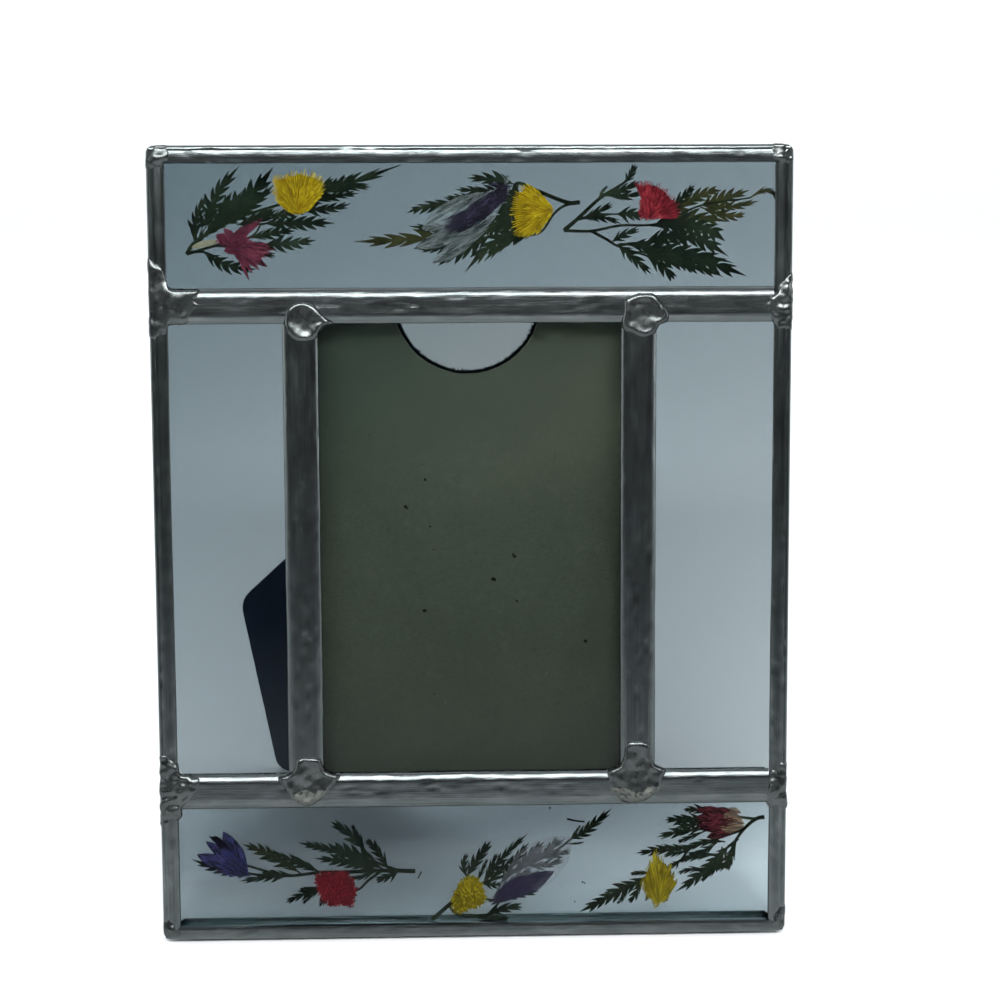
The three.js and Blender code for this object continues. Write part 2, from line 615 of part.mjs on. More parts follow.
function foldAxes(opening) {
  const diagonal = Math.SQRT1_2;
  const along = new THREE.Vector3(diagonal, 0, -diagonal);
  const flat = new THREE.Vector3(-diagonal, 0, -diagonal);
  const out = new THREE.Vector3(0, 1, 0);
  const down = flat.clone().multiplyScalar(Math.cos(opening)).addScaledVector(out, Math.sin(opening));
  const back = out.multiplyScalar(Math.cos(opening)).addScaledVector(flat, -Math.sin(opening));
  return { along, down, back };
}

// How high a panel direction points once the panel leans.
function rise(direction) {
  return direction.z * Math.cos(lean) - direction.y * Math.sin(lean);
}

// Distance from the fold to the table, down the front face of the leg, at a place along the fold.
function footReach(across) {
  const { along, down, back } = foldAxes(legOpening);
  const start = new THREE.Vector3(hinge.x, hingeDepth, hinge.z);
  const fall = rise(start) + across * rise(along) - legThickness * rise(back) - groundHeight;
  return -fall / rise(down);
}

function roundedShape(corners, radii) {
  const shape = new THREE.Shape();
  corners.forEach((corner, i) => {
    const before = corners[(i + corners.length - 1) % corners.length];
    const after = corners[(i + 1) % corners.length];
    const from = before.clone().sub(corner).setLength(radii[i] * 0.8).add(corner);
    const to = after.clone().sub(corner).setLength(radii[i] * 0.8).add(corner);
    if (i === 0) shape.moveTo(from.x, from.y);
    else shape.lineTo(from.x, from.y);
    if (radii[i] > 0) shape.quadraticCurveTo(corner.x, corner.y, to.x, to.y);
  });
  shape.closePath();
  return shape;
}

function addLegPiece(name, shape, opening) {
  const { along, down, back } = foldAxes(opening);
  const geometry = plate(shape, legThickness);
  geometry.translate(0, 0, -legThickness);
  const mesh = addPiece(name, geometry, navyVelour);
  mesh.quaternion.setFromRotationMatrix(new THREE.Matrix4().makeBasis(along, down, back));
  mesh.position.set(hinge.x, hingeDepth, hinge.z);
}

function addLeg() {
  const corner = (x, y) => new THREE.Vector2(x, y);
  const near = legOffset - legWidth / 2;
  const far = legOffset + legWidth / 2;
  const tab = [corner(near, -hinge.gap), corner(near, -tabLength), corner(far, -tabLength),
    corner(far, -hinge.gap)];
  addLegPiece('leg_tab', roundedShape(tab, [0, cornerRadius, cornerRadius, 0]), 0);
  const point = footReach(0);
  const leg = [corner(near, hinge.gap), corner(near, point + near), corner(0, point),
    corner(far, footReach(far)), corner(far, hinge.gap)];
  const rounds = [0, cornerRadius, cornerRadius, 1, 0];
  addLegPiece('easel_leg', roundedShape(leg, rounds), legOpening);
}

// ---- Solder ----------------------------------------------------------------------------------
const solderProud = 0.75; // how far a joint stands off the faces
const solderClear = 0.1;
const solderWrap = 0.5; // how far it stands off the sides and top of the frame, none below

// A flat block with rounded faces, right through the frame, from a few points of its outline.
function solderBlock(points) {
  const line = new THREE.CatmullRomCurve3(points.map(([x, y]) => new THREE.Vector3(x, y, 0)), true);
  const edge = line.getPoints(12).slice(0, -1).map(({ x, y }) => [
    THREE.MathUtils.clamp(x, -width / 2 - solderWrap, width / 2 + solderWrap),
    THREE.MathUtils.clamp(y, solderClear, height + solderWrap),
  ]);
  const bevel = { bevelThickness: 0.55, bevelSize: 0.7, bevelOffset: -0.7, bevelSegments: 1 };
  const depth = thickness + 2 * (solderProud - bevel.bevelThickness);
  const block = new THREE.ExtrudeGeometry(outline(edge), { depth, ...bevel });
  block.rotateX(Math.PI / 2);
  block.translate(0, depth - (solderProud - bevel.bevelThickness), 0);
  return toSolid(block);
}

// Everything that solder lies on, and the table below it, each a little enlarged.
function keepOut() {
  const c = solderClear;
  const frame = box([-width / 2 - c, width / 2 + c], [-c, thickness + c], [-c, height + c]);
  const backing = box([trackOuter.left - c, trackOuter.right + c], [thickness / 2, 3 * thickness],
    [trackOuter.bottom - c, track.top + c]);
  const table = box([-width, width], [-width, width], [-width, groundHeight + c]);
  table.rotateX(lean);
  return joined([frame, backing, table].map(toSolid));
}

function addSolder() {
  const solid = keepOut();
  const [x, z] = [width / 2, height];
  const { upper, lower } = barHeight;
  const out = solderWrap;
  const wraps = {
    solder_corner_top_left: [[-x - out, z - 4.2], [-x - out, z - 0.8], [-x + 0.8, z + out],
      [-x + 4.6, z + out], [-x + 4.2, z - 2.6], [-x + 2.4, z - 4.6]],
    solder_corner_top_right: [[x + out, z - 4.6], [x + out, z - 1.2], [x - 1, z + out],
      [x - 4.4, z + out], [x - 4.6, z - 2.4], [x - 2.6, z - 4.8]],
    solder_corner_bottom_left: [[-x - out, 4.6], [-x - out, 0.8], [-x + 0.8, solderClear],
      [-x + 3.4, solderClear], [-x + 4.2, 1.8], [-x + 2.8, 4.8]],
    solder_corner_bottom_right: [[x + out, 5], [x + out, 0.8], [x - 0.8, solderClear],
      [x - 3.2, solderClear], [x - 3.8, 2], [x - 2.6, 4.8]],
    solder_tee_upper_left: [[-x - out, upper + 7], [-x + 2.4, upper + 7.4], [-x + 3.6, upper + 3.6],
      [-x + 8.6, upper + 1.6], [-x + 8.4, upper - 2.2], [-x + 3.4, upper - 4],
      [-x + 1.8, upper - 6], [-x - out, upper - 5.6]],
    solder_tee_upper_right: [[x + out, upper + 5.6], [x - 2, upper + 5.4], [x - 3.6, upper + 2.8],
      [x - 5.6, upper + 0.6], [x - 4.6, upper - 2.6], [x - 2.2, upper - 4.4],
      [x + out, upper - 4.6]],
    solder_tee_lower_left: [[-x - out, lower + 6.8], [-x + 2.2, lower + 6.6], [-x + 4.4, lower + 3],
      [-x + 6, lower], [-x + 4.8, lower - 3.2], [-x + 2, lower - 6], [-x - out, lower - 6]],
    solder_tee_lower_right: [[x + out, lower + 4.6], [x - 2.4, lower + 4.4], [x - 4.6, lower + 2],
      [x - 5, lower - 1.6], [x - 2.8, lower - 4], [x + out, lower - 4]],
  };
  for (const [name, points] of Object.entries(wraps)) {
    addPiece(name, toGeometry(solderBlock(points).subtract(solid)), solderMetal);
  }
  const { left, right } = uprightPlace;
  const joints = {
    upper_left: [[left - 3.8, upper + 0.4], [left - 2.6, upper + 2.6], [left + 0.6, upper + 3.4],
      [left + 3.4, upper + 2], [left + 4.6, upper - 1], [left + 2.8, upper - 3.6],
      [left, upper - 4.4], [left - 3, upper - 3.2]],
    upper_right: [[right - 4.2, upper + 1], [right - 2.6, upper + 3.6], [right + 1.6, upper + 3.4],
      [right + 4, upper + 0.8], [right + 3.4, upper - 3.6], [right, upper - 5],
      [right - 3.6, upper - 3.8]],
    lower_left: [[left - 5, lower + 0.6], [left - 3.4, lower + 4], [left, lower + 6],
      [left + 3.2, lower + 3.8], [left + 5, lower + 0.4], [left + 3, lower - 3],
      [left, lower - 3.7], [left - 3.2, lower - 2.8]],
    lower_right: [[right - 5, lower + 0.6], [right - 3.4, lower + 4], [right, lower + 6.4],
      [right + 3.2, lower + 4], [right + 4.8, lower + 0.8], [right + 3, lower - 2.8],
      [right, lower - 3.3], [right - 3.4, lower - 2.6]],
  };
  for (const [name, points] of Object.entries(joints)) {
    const sides = solderBlock(points).subtract(solid).decompose();
    sides.sort((a, b) => a.boundingBox().min[1] - b.boundingBox().min[1]);
    const [front, back] = sides;
    addPiece(`solder_joint_${name}_front`, toGeometry(front), solderMetal);
    addPiece(`solder_joint_${name}_back`, toGeometry(back), solderMetal);
  }
}

// ---- The whole frame -------------------------------------------------------------------------
addBorder();
addBars();
addGlass();
addSprays();
addBlooms();
addTracks();
addBoard();
addLeg();
addSolder();
panel.rotation.x = -lean;

// The origin is below the middle of the whole frame, on the surface that it stands on.
const frame = new THREE.Group();
frame.add(panel);
frame.updateMatrixWorld(true);
const bounds = new THREE.Box3().setFromObject(frame, true);
const middle = bounds.getCenter(new THREE.Vector3());
frame.position.set(-middle.x, -middle.y, -bounds.min.z);
frame.updateMatrixWorld(true);

export default frame;
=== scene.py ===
import math
import random

import bmesh
import bpy
from mathutils import Matrix, Vector, noise
from mathutils.geometry import tessellate_polygon


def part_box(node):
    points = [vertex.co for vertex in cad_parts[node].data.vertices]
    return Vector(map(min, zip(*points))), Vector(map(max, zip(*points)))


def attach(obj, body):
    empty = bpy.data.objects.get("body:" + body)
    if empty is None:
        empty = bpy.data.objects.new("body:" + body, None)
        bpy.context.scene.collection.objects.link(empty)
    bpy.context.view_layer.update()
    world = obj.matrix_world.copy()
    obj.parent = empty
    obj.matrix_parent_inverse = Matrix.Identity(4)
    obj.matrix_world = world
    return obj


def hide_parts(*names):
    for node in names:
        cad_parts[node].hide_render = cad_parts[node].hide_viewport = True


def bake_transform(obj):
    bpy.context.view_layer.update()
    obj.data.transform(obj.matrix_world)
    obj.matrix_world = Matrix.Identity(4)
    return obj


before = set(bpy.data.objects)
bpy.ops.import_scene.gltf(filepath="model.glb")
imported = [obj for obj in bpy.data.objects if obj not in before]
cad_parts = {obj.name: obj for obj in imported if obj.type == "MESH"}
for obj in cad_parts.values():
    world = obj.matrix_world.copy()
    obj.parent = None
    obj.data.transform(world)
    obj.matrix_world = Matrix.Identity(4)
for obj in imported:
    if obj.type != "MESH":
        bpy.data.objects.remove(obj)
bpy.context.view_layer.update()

# ---- The panel -------------------------------------------------------------------------------
# Pieces are drawn in millimetres in the panel's own axes: X to the right, Y from the front face
# to the back, Z up the panel. PANEL takes them to metres in the frame's axes.
MM = 0.001
LEAN = math.radians(15)
LEG_OPENING = math.radians(40)

WIDTH = 118.9
HEIGHT = 149.4
THICKNESS = 6.6
MID_DEPTH = THICKNESS / 2
BORDER_FACE = 3.3          # widths of the border came on its front face
BOTTOM_FACE = 2.5
FLANGE = 1.0               # depth of a came's lips
BORDER_WALL = 1.0
HEART = 1.2                # thickness of the H came's wall
REAR_FACE = 2.5            # a narrower lip behind, hidden by the one in front
BAR_FRONT = 6.6            # widths of the H came
BAR_BACK = 5.0
# Middles of the bars and uprights.
BAR_HEIGHT = {"upper": 120.1, "lower": 28.6}
UPRIGHT_PLACE = {"left": -31.9, "right": 31.0}
SEAM = 0.1                 # gap between two lengths of came
PANE_FRONT = 1.25          # front of every front pane
PANE_INSET = 1.0           # from the middle of a bar to a pane's edge
THIN_GLASS = 1.6
THICK_GLASS = 3.0
FLOWER_SPACE = (2.85, 3.75)     # depths between two sealed panes, and of what lies there
LEAF_LAYER = (3.34, 3.62)
PETAL_LAYER = (2.92, 3.22)


def panel_matrix():
    """From panel millimetres to frame metres, placed by the middle pane's corner."""
    low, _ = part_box("glass_centre")
    pane_low = BAR_HEIGHT["lower"] + PANE_INSET
    s, c = math.sin(LEAN), math.cos(LEAN)
    y = low.y / MM - pane_low * s - PANE_FRONT * c
    z = low.z / MM - pane_low * c + (PANE_FRONT + THICK_GLASS) * s
    turn = Matrix.Rotation(-LEAN, 4, "X")
    return Matrix.Scale(MM, 4) @ Matrix.Translation((0, y, z)) @ turn


PANEL = panel_matrix()


# ---- Camera, floor and light -----------------------------------------------------------------
CAMERA_PLACE = (-6.5, -371.2, 124.9)      # in the panel's axes
CAMERA_RIGHT = (0.99949, -0.03147, -0.00439)
CAMERA_FORWARD = (0.0308, 0.99347, -0.10983)
CAMERA_LENS = 72                           # on a sensor 36 mm wide


def add_camera():
    data = bpy.data.cameras.new("camera")
    data.lens = CAMERA_LENS
    data.sensor_width = 36
    data.clip_start = 0.01
    data.clip_end = 20
    camera = bpy.data.objects.new("camera", data)
    turn = PANEL.to_3x3().normalized()
    right = (turn @ Vector(CAMERA_RIGHT)).normalized()
    back = -(turn @ Vector(CAMERA_FORWARD)).normalized()
    up = back.cross(right).normalized()
    axes = Matrix((right, up, back)).transposed().to_4x4()
    camera.matrix_world = Matrix.Translation(PANEL @ Vector(CAMERA_PLACE)) @ axes
    bpy.context.scene.collection.objects.link(camera)
    bpy.context.scene.camera = camera


def add_light(name, place, aim, size, watts):
    data = bpy.data.lights.new(name, "AREA")
    data.shape = "RECTANGLE"
    data.size, data.size_y = size
    data.energy = watts
    light = bpy.data.objects.new(name, data)
    light.location = place
    light.rotation_mode = "QUATERNION"
    light.rotation_quaternion = (Vector(aim) - Vector(place)).to_track_quat("-Z", "Y")
    bpy.context.scene.collection.objects.link(light)


def add_stage():
    """A pale floor that curves up into a backdrop far behind."""
    depth, rise, radius, half, steps = 0.9, 1.2, 0.35, 3.0, 16
    profile = [(-half, 0.0), (depth - radius, 0.0)]
    for i in range(1, steps + 1):
        a = math.pi / 2 * i / steps
        profile.append((depth - radius + radius * math.sin(a), radius - radius * math.cos(a)))
    profile.append((depth, rise))
    mesh = bpy.data.meshes.new("stage")
    points = [(x, y, z) for y, z in profile for x in (-half, half)]
    faces = [(2 * i, 2 * i + 1, 2 * i + 3, 2 * i + 2) for i in range(len(profile) - 1)]
    mesh.from_pydata(points, [], faces)
    for face in mesh.polygons:
        face.use_smooth = True
    stage = bpy.data.objects.new("stage", mesh)
    bpy.context.scene.collection.objects.link(stage)
    paper = Shader("stage_paper")
    paper.set("Base Color", (0.80, 0.81, 0.82, 1))
    paper.set("Roughness", 0.9)
    mesh.materials.append(paper.material)


def add_world():
    """A dim room with a bright ceiling: metal reads dark in front and bright on its upper edges."""
    world = bpy.data.worlds.new("studio")
    world.use_nodes = True
    tree = world.node_tree
    direction = tree.nodes.new("ShaderNodeTexCoord")
    split = tree.nodes.new("ShaderNodeSeparateXYZ")
    ramp = tree.nodes.new("ShaderNodeValToRGB")
    points = ramp.color_ramp.elements
    points.new(0.5)
    points.new(0.5)
    shades = [(0.03, (0.5, 0.53, 0.55)), (0.09, (0.035, 0.043, 0.047)),
              (0.42, (0.05, 0.058, 0.062)), (0.72, (0.5, 0.55, 0.6))]
    for point, (height, colour) in zip(points, shades):
        point.position, point.color = height, (*colour, 1)
    tree.links.new(direction.outputs["Generated"], split.inputs["Vector"])
    tree.links.new(split.outputs["Z"], ramp.inputs["Fac"])
    tree.links.new(ramp.outputs["Color"], tree.nodes["Background"].inputs["Color"])
    bpy.context.scene.world = world
    bpy.context.scene.view_settings.view_transform = "Standard"


# ---- Shader building -------------------------------------------------------------------------
class Shader:
    """A material with one Principled shader, and short ways to add nodes to it."""

    def __init__(self, name):
        self.material = bpy.data.materials.new(name)
        self.material.use_nodes = True
        self.tree = self.material.node_tree
        self.shader = self.tree.nodes["Principled BSDF"]
        self.coordinates = self.tree.nodes.new("ShaderNodeTexCoord")

    def set(self, socket, value):
        self.shader.inputs[socket].default_value = value

    def link(self, source, target):
        self.tree.links.new(source, target)

    def feed(self, socket, value):
        """Links an output to the socket, or sets it to a number or a colour."""
        if isinstance(value, bpy.types.NodeSocket):
            self.link(value, socket)
        else:
            socket.default_value = (*value, 1) if isinstance(value, tuple) else value

    def node(self, kind, **inputs):
        node = self.tree.nodes.new(kind)
        for key, value in inputs.items():
            self.feed(node.inputs[key], value)
        return node

    def place(self, kind="Object", scale=(1, 1, 1)):
        """Texture coordinates, scaled: Object ones are metres, UV ones are millimetres."""
        mapping = self.node("ShaderNodeMapping", Vector=self.coordinates.outputs[kind])
        mapping.inputs["Scale"].default_value = scale
        return mapping.outputs["Vector"]

    def noise(self, vector, scale, detail, roughness):
        node = self.node("ShaderNodeTexNoise", Vector=vector, Scale=scale, Detail=detail,
                         Roughness=roughness)
        return node.outputs["Fac"]

    def ramp(self, factor, *stops):
        node = self.node("ShaderNodeValToRGB", Fac=factor)
        points = node.color_ramp.elements
        while len(points) < len(stops):
            points.new(0.5)
        for point, (position, colour) in zip(points, stops):
            point.position = position
            grey = isinstance(colour, (int, float))
            point.color = (colour, colour, colour, 1) if grey else (*colour, 1)
        return node.outputs["Color"]

    def mix(self, factor, a, b):
        """A mix of two colours; the sockets by number are the factor's and the colours' own."""
        node = self.tree.nodes.new("ShaderNodeMix")
        node.data_type = "RGBA"
        for number, value in ((0, factor), (6, a), (7, b)):
            self.feed(node.inputs[number], value)
        return node.outputs[2]

    def attribute(self, name):
        node = self.tree.nodes.new("ShaderNodeAttribute")
        node.attribute_name = name
        return node.outputs["Fac"]

    def bump(self, height, strength, distance):
        node = self.node("ShaderNodeBump", Height=height, Strength=strength, Distance=distance)
        return node.outputs["Normal"]

    def colour(self, source):
        self.link(source, self.shader.inputs["Base Color"])

    def rough(self, source):
        self.link(source, self.shader.inputs["Roughness"])

    def normal(self, source):
        self.link(source, self.shader.inputs["Normal"])


# Painted shade in the glass's tint: how it deepens per metre towards the top left, and, in the low rear pane,
# steeply towards its top.
PAINTED_SHADE_FALL = (2.2, 0.0, -4.0)      # how the shade of the glass changes, per metre
LOW_PAINTED_SHADE_FALL = (2.2, 0.0, -16.0)
PAINTED_SHADE_LEVEL = 0.8                  # added, so that the shade runs from 0 to 1


def came_material():
    """Dull pewter-grey lead: dark patina in blotches, fine scratches along its length."""
    s = Shader("came")
    s.set("Metallic", 1.0)
    streaks = s.noise(s.place("UV", (0.05, 5.0, 1)), 1.0, 6, 0.65)
    fine = s.noise(s.place("UV", (0.15, 22.0, 1)), 1.0, 3, 0.6)
    blotch = s.noise(s.place("UV", (0.12, 0.35, 1)), 1.0, 5, 0.6)
    base = s.ramp(streaks, (0.3, (0.044, 0.052, 0.054)), (0.7, (0.105, 0.119, 0.119)))
    worn = s.mix(s.ramp(blotch, (0.45, 0.0), (0.72, 0.4)), base, (0.155, 0.168, 0.165))
    s.colour(s.mix(s.ramp(fine, (0.55, 0.0), (0.75, 0.45)), worn, (0.025, 0.03, 0.03)))
    s.rough(s.ramp(blotch, (0.3, 0.27), (0.7, 0.17)))
    height = s.mix(0.5, streaks, fine)
    s.normal(s.bump(height, 0.2, 0.00012))
    return s.material


def solder_material():
    """Smooth cooled solder, greyed in places; the tint attribute marks where it is dusty."""
    s = Shader("solder")
    s.set("Metallic", 1.0)
    place = s.place("Object")
    cloud = s.noise(place, 170, 3, 0.5)
    grain = s.noise(place, 1500, 3, 0.6)
    stain = s.noise(place, 700, 4, 0.6)
    metal = s.mix(s.ramp(cloud, (0.4, 0.0), (0.65, 1.0)),
                  (0.07, 0.077, 0.076), (0.05, 0.056, 0.056))
    metal = s.mix(s.ramp(stain, (0.5, 0.0), (0.7, 0.22)), metal, (0.024, 0.028, 0.027))
    dust = s.ramp(s.mix(0.5, s.attribute("tint"), grain), (0.53, 0.0), (0.66, 0.85))
    s.colour(s.mix(dust, metal, (0.115, 0.12, 0.106)))
    s.rough(s.mix(dust, s.ramp(stain, (0.3, 0.22), (0.7, 0.33)), (0.7, 0.7, 0.7)))
    s.normal(s.bump(grain, 0.22, 0.00006))
    return s.material


def glass_material(name, deep, light, ior, span=(0.1, 0.9), painted_shade_fall=PAINTED_SHADE_FALL):
    """Grey glass with painted shade in its tint, deeper towards its top left; faintly smudged."""
    s = Shader(name)
    s.set("Transmission Weight", 1.0)
    s.set("IOR", ior)
    place = s.place("Object")
    fall = s.node("ShaderNodeVectorMath")
    fall.operation = "DOT_PRODUCT"
    s.link(place, fall.inputs[0])
    fall.inputs[1].default_value = painted_shade_fall
    smudge = s.noise(place, 60, 3, 0.6)
    level = s.node("ShaderNodeMath", Value=fall.outputs["Value"])
    level.inputs[1].default_value = PAINTED_SHADE_LEVEL
    # Painted shade: the tint runs from the deep to the light colour along the fall.
    s.colour(s.ramp(level.outputs["Value"], (span[0], deep), (span[1], light)))
    s.rough(s.ramp(smudge, (0.45, 0.0), (0.8, 0.03)))
    return s.material


def leaf_material():
    """Dry pressed leaf: near-black green, going olive and brown in places."""
    s = Shader("leaf")
    s.set("Specular IOR Level", 0.04)
    place = s.place("Object")
    patch = s.noise(place, 160, 4, 0.6)
    tint = s.attribute("tint")
    green = s.ramp(patch, (0.3, (0.0018, 0.005, 0.004)), (0.7, (0.0055, 0.0125, 0.008)))
    olive = s.ramp(patch, (0.3, (0.017, 0.019, 0.006)), (0.7, (0.055, 0.048, 0.014)))
    s.colour(s.mix(tint, green, olive))
    s.set("Roughness", 0.75)
    veins = s.noise(s.place("UV", (0.6, 4.0, 1)), 1.0, 3, 0.6)
    s.normal(s.bump(veins, 0.4, 0.0001))
    return s.material


def petal_material(name, deep, light, vein):
    """Dry pressed petal: colour from base to tip, with fine veins along it."""
    s = Shader(name)
    s.set("Specular IOR Level", 0.05)
    s.set("Roughness", 0.7)
    place = s.place("Object")
    veins = s.noise(s.place("UV", (0.6, 4.5, 1)), 1.0, 2, 0.6)
    patch = s.noise(place, 330, 4, 0.6)
    dapple = s.noise(place, 150, 3, 0.6)
    toned = s.mix(s.attribute("tint"), deep, light)
    base = s.mix(s.ramp(dapple, (0.46, 0.0), (0.66, 0.5)), toned, deep)
    mottled = s.mix(s.ramp(patch, (0.4, 0.0), (0.7, 0.6)), base, vein)
    s.colour(s.mix(s.ramp(veins, (0.5, 0.0), (0.72, 0.55)), mottled, vein))
    s.normal(s.bump(veins, 0.5, 0.00012))
    return s.material


def translucent_petal_material(name, dark, pale, alpha, finer=1.0):
    """A petal pressed so thin that what lies under it shows through."""
    s = Shader(name)
    s.set("Roughness", 0.6)
    s.set("Specular IOR Level", 0.1)
    s.set("Alpha", alpha)
    veins = s.noise(s.place("UV", (0.25, 1.7, 1)), finer, 3, 0.55)
    s.colour(s.mix(s.ramp(veins, (0.38, 0.0), (0.62, 1.0)), dark, pale))
    s.normal(s.bump(veins, 0.2, 0.0001))
    return s.material


def chipboard_material():
    """Grey-green pressed board: fibres, cloudy tone; painted shade darker low down, painted light yellower high up.
    """
    s = Shader("chipboard")
    s.set("Roughness", 0.92)
    s.set("Specular IOR Level", 0.15)
    place = s.place("Object")
    cloud = s.noise(place, 55, 4, 0.6)
    fibre = s.noise(s.place("Object", (1, 1, 2.6)), 1500, 3, 0.7)
    pulp = s.noise(place, 420, 5, 0.65)
    split = s.node("ShaderNodeSeparateXYZ", Vector=place)
    climb = s.node("ShaderNodeMath", Value=split.outputs["Z"])
    climb.operation = "MULTIPLY"
    climb.inputs[1].default_value = 8          # 0 at the floor, 1 at 125 mm up
    height = climb.outputs["Value"]
    base = s.ramp(cloud, (0.3, (0.58, 0.62, 0.46)), (0.7, (0.73, 0.77, 0.57)))
    fibres = s.mix(s.ramp(fibre, (0.42, 0.0), (0.7, 0.5)), base, (0.30, 0.33, 0.24))
    board = s.mix(s.ramp(pulp, (0.55, 0.0), (0.75, 0.6)), fibres, (0.84, 0.87, 0.68))
    # Painted light: paler and yellower high up.
    board = s.mix(s.ramp(height, (0.6, 0.0), (0.82, 0.75)), board, (0.88, 0.86, 0.62))
    # Painted shade: darker low down.
    s.colour(s.mix(s.ramp(height, (0.25, 0.68), (0.7, 0.0)), board, (0.24, 0.26, 0.20)))
    s.normal(s.bump(s.mix(0.5, fibre, pulp), 0.5, 0.00015))
    return s.material


def velour_material():
    """Short-pile navy velour."""
    s = Shader("velour")
    s.set("Roughness", 1.0)
    s.set("Specular IOR Level", 0.1)
    s.set("Sheen Weight", 0.12)
    s.set("Sheen Roughness", 0.4)
    s.set("Sheen Tint", (0.25, 0.36, 0.55, 1))
    place = s.place("Object")
    pile = s.noise(place, 3200, 3, 0.7)
    nap = s.noise(place, 140, 4, 0.6)
    base = s.ramp(nap, (0.35, (0.003, 0.008, 0.019)), (0.7, (0.006, 0.015, 0.032)))
    s.colour(s.mix(s.ramp(pile, (0.4, 0.0), (0.7, 0.6)), base, (0.019, 0.033, 0.058)))
    s.normal(s.bump(pile, 0.8, 0.0003))
    return s.material


def fleck_material(name, colour, other):
    """Matt specks in two shades."""
    s = Shader(name)
    s.set("Roughness", 0.9)
    grain = s.noise(s.place("Object"), 1800, 3, 0.6)
    s.colour(s.ramp(grain, (0.35, colour), (0.7, other)))
    s.normal(s.bump(grain, 0.4, 0.0001))
    return s.material


# ---- Mesh building ---------------------------------------------------------------------------
class Builder:
    """Collects vertices and faces in panel millimetres, then makes one object of them."""

    def __init__(self):
        self.points, self.faces, self.slots = [], [], []
        self.places, self.tints = [], []

    def vertex(self, point, place=(0, 0), tint=0.0):
        self.points.append(Vector(point))
        self.places.append(place)
        self.tints.append(tint)
        return len(self.points) - 1

    def face(self, corners, slot=0):
        self.faces.append(tuple(corners))
        self.slots.append(slot)

    def plate(self, edge, front, back, slot=0, tint=0.0, places=None):
        """A thin closed plate with the outline edge, a list of (x, z), counterclockwise."""
        places = places or edge
        tints = tint if isinstance(tint, list) else [tint] * len(edge)
        rings = []
        for depth in (front, back):
            rings.append([self.vertex((x, depth, z), place, shade)
                          for (x, z), place, shade in zip(edge, places, tints)])
        flat = [Vector((x, z, 0)) for x, z in edge]
        for a, b, c in fill_polygon(flat):
            self.face((rings[0][a], rings[0][b], rings[0][c]), slot)
            self.face((rings[1][c], rings[1][b], rings[1][a]), slot)
        count = len(edge)
        for i in range(count):
            j = (i + 1) % count
            self.face((rings[0][j], rings[0][i], rings[1][i], rings[1][j]), slot)

    def rings(self, rings, places=None, slot=0):
        """A skin over closed rings of points, capped at both ends."""
        indexed = []
        for r, ring in enumerate(rings):
            indexed.append([self.vertex(point, places[r][i] if places else (0, 0))
                            for i, point in enumerate(ring)])
        count = len(rings[0])
        for low, high in zip(indexed, indexed[1:]):
            for i in range(count):
                j = (i + 1) % count
                self.face((low[i], low[j], high[j], high[i]), slot)
        self.face(indexed[0][::-1], slot)
        self.face(indexed[-1], slot)

    def make(self, name, materials, matrix=PANEL, smooth=None):
        mesh = bpy.data.meshes.new(name)
        mesh.from_pydata([tuple(p) for p in self.points], [], self.faces)
        mesh.validate()
        for face, slot in zip(mesh.polygons, self.slots):
            face.material_index = slot
        uv = mesh.uv_layers.new(name="place")
        for loop in mesh.loops:
            uv.data[loop.index].uv = self.places[loop.vertex_index]
        tint = mesh.attributes.new("tint", "FLOAT", "POINT")
        for i, value in enumerate(self.tints):
            tint.data[i].value = value
        for material in materials:
            mesh.materials.append(material)
        mesh.transform(matrix)
        rework = bmesh.new()
        rework.from_mesh(mesh)
        bmesh.ops.recalc_face_normals(rework, faces=rework.faces)
        rework.to_mesh(mesh)
        rework.free()
        piece = bpy.data.objects.new(name, mesh)
        bpy.context.scene.collection.objects.link(piece)
        if smooth is not None:
            smooth_by_angle(mesh, smooth)
        return piece


def fill_polygon(points):
    """Triangles that fill a flat outline, facing the front."""
    triangles = []
    for a, b, c in tessellate_polygon([points]):
        turn = (points[b] - points[a]).cross(points[c] - points[a]).z
        triangles.append((a, b, c) if turn > 0 else (a, c, b))
    return triangles


def smooth_by_angle(mesh, degrees):
    """Smooth shading, with the edges sharper than this angle kept hard."""
    for face in mesh.polygons:
        face.use_smooth = True
    mesh.set_sharp_from_angle(angle=math.radians(degrees))


def place_piece(piece, slot, *nodes, body="frame"):
    """Ties a piece to its body and hides the nodes that it replaces; slot is not used."""
    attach(piece, body)
    if nodes:
        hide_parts(*nodes)


def wander(x, y, z, seed):
    """Smooth random value about 0, the same each run."""
    return noise.noise(Vector((x + 13.7 * seed, y - 7.1 * seed, z + 3.3 * seed)))


# ---- Came ------------------------------------------------------------------------------------
def arc(centre, radius, start, end, steps):
    """Points on an arc, angles in degrees."""
    points = []
    for i in range(steps + 1):
        a = math.radians(start + (end - start) * i / steps)
        points.append((centre[0] + radius * math.cos(a), centre[1] + radius * math.sin(a)))
    return points


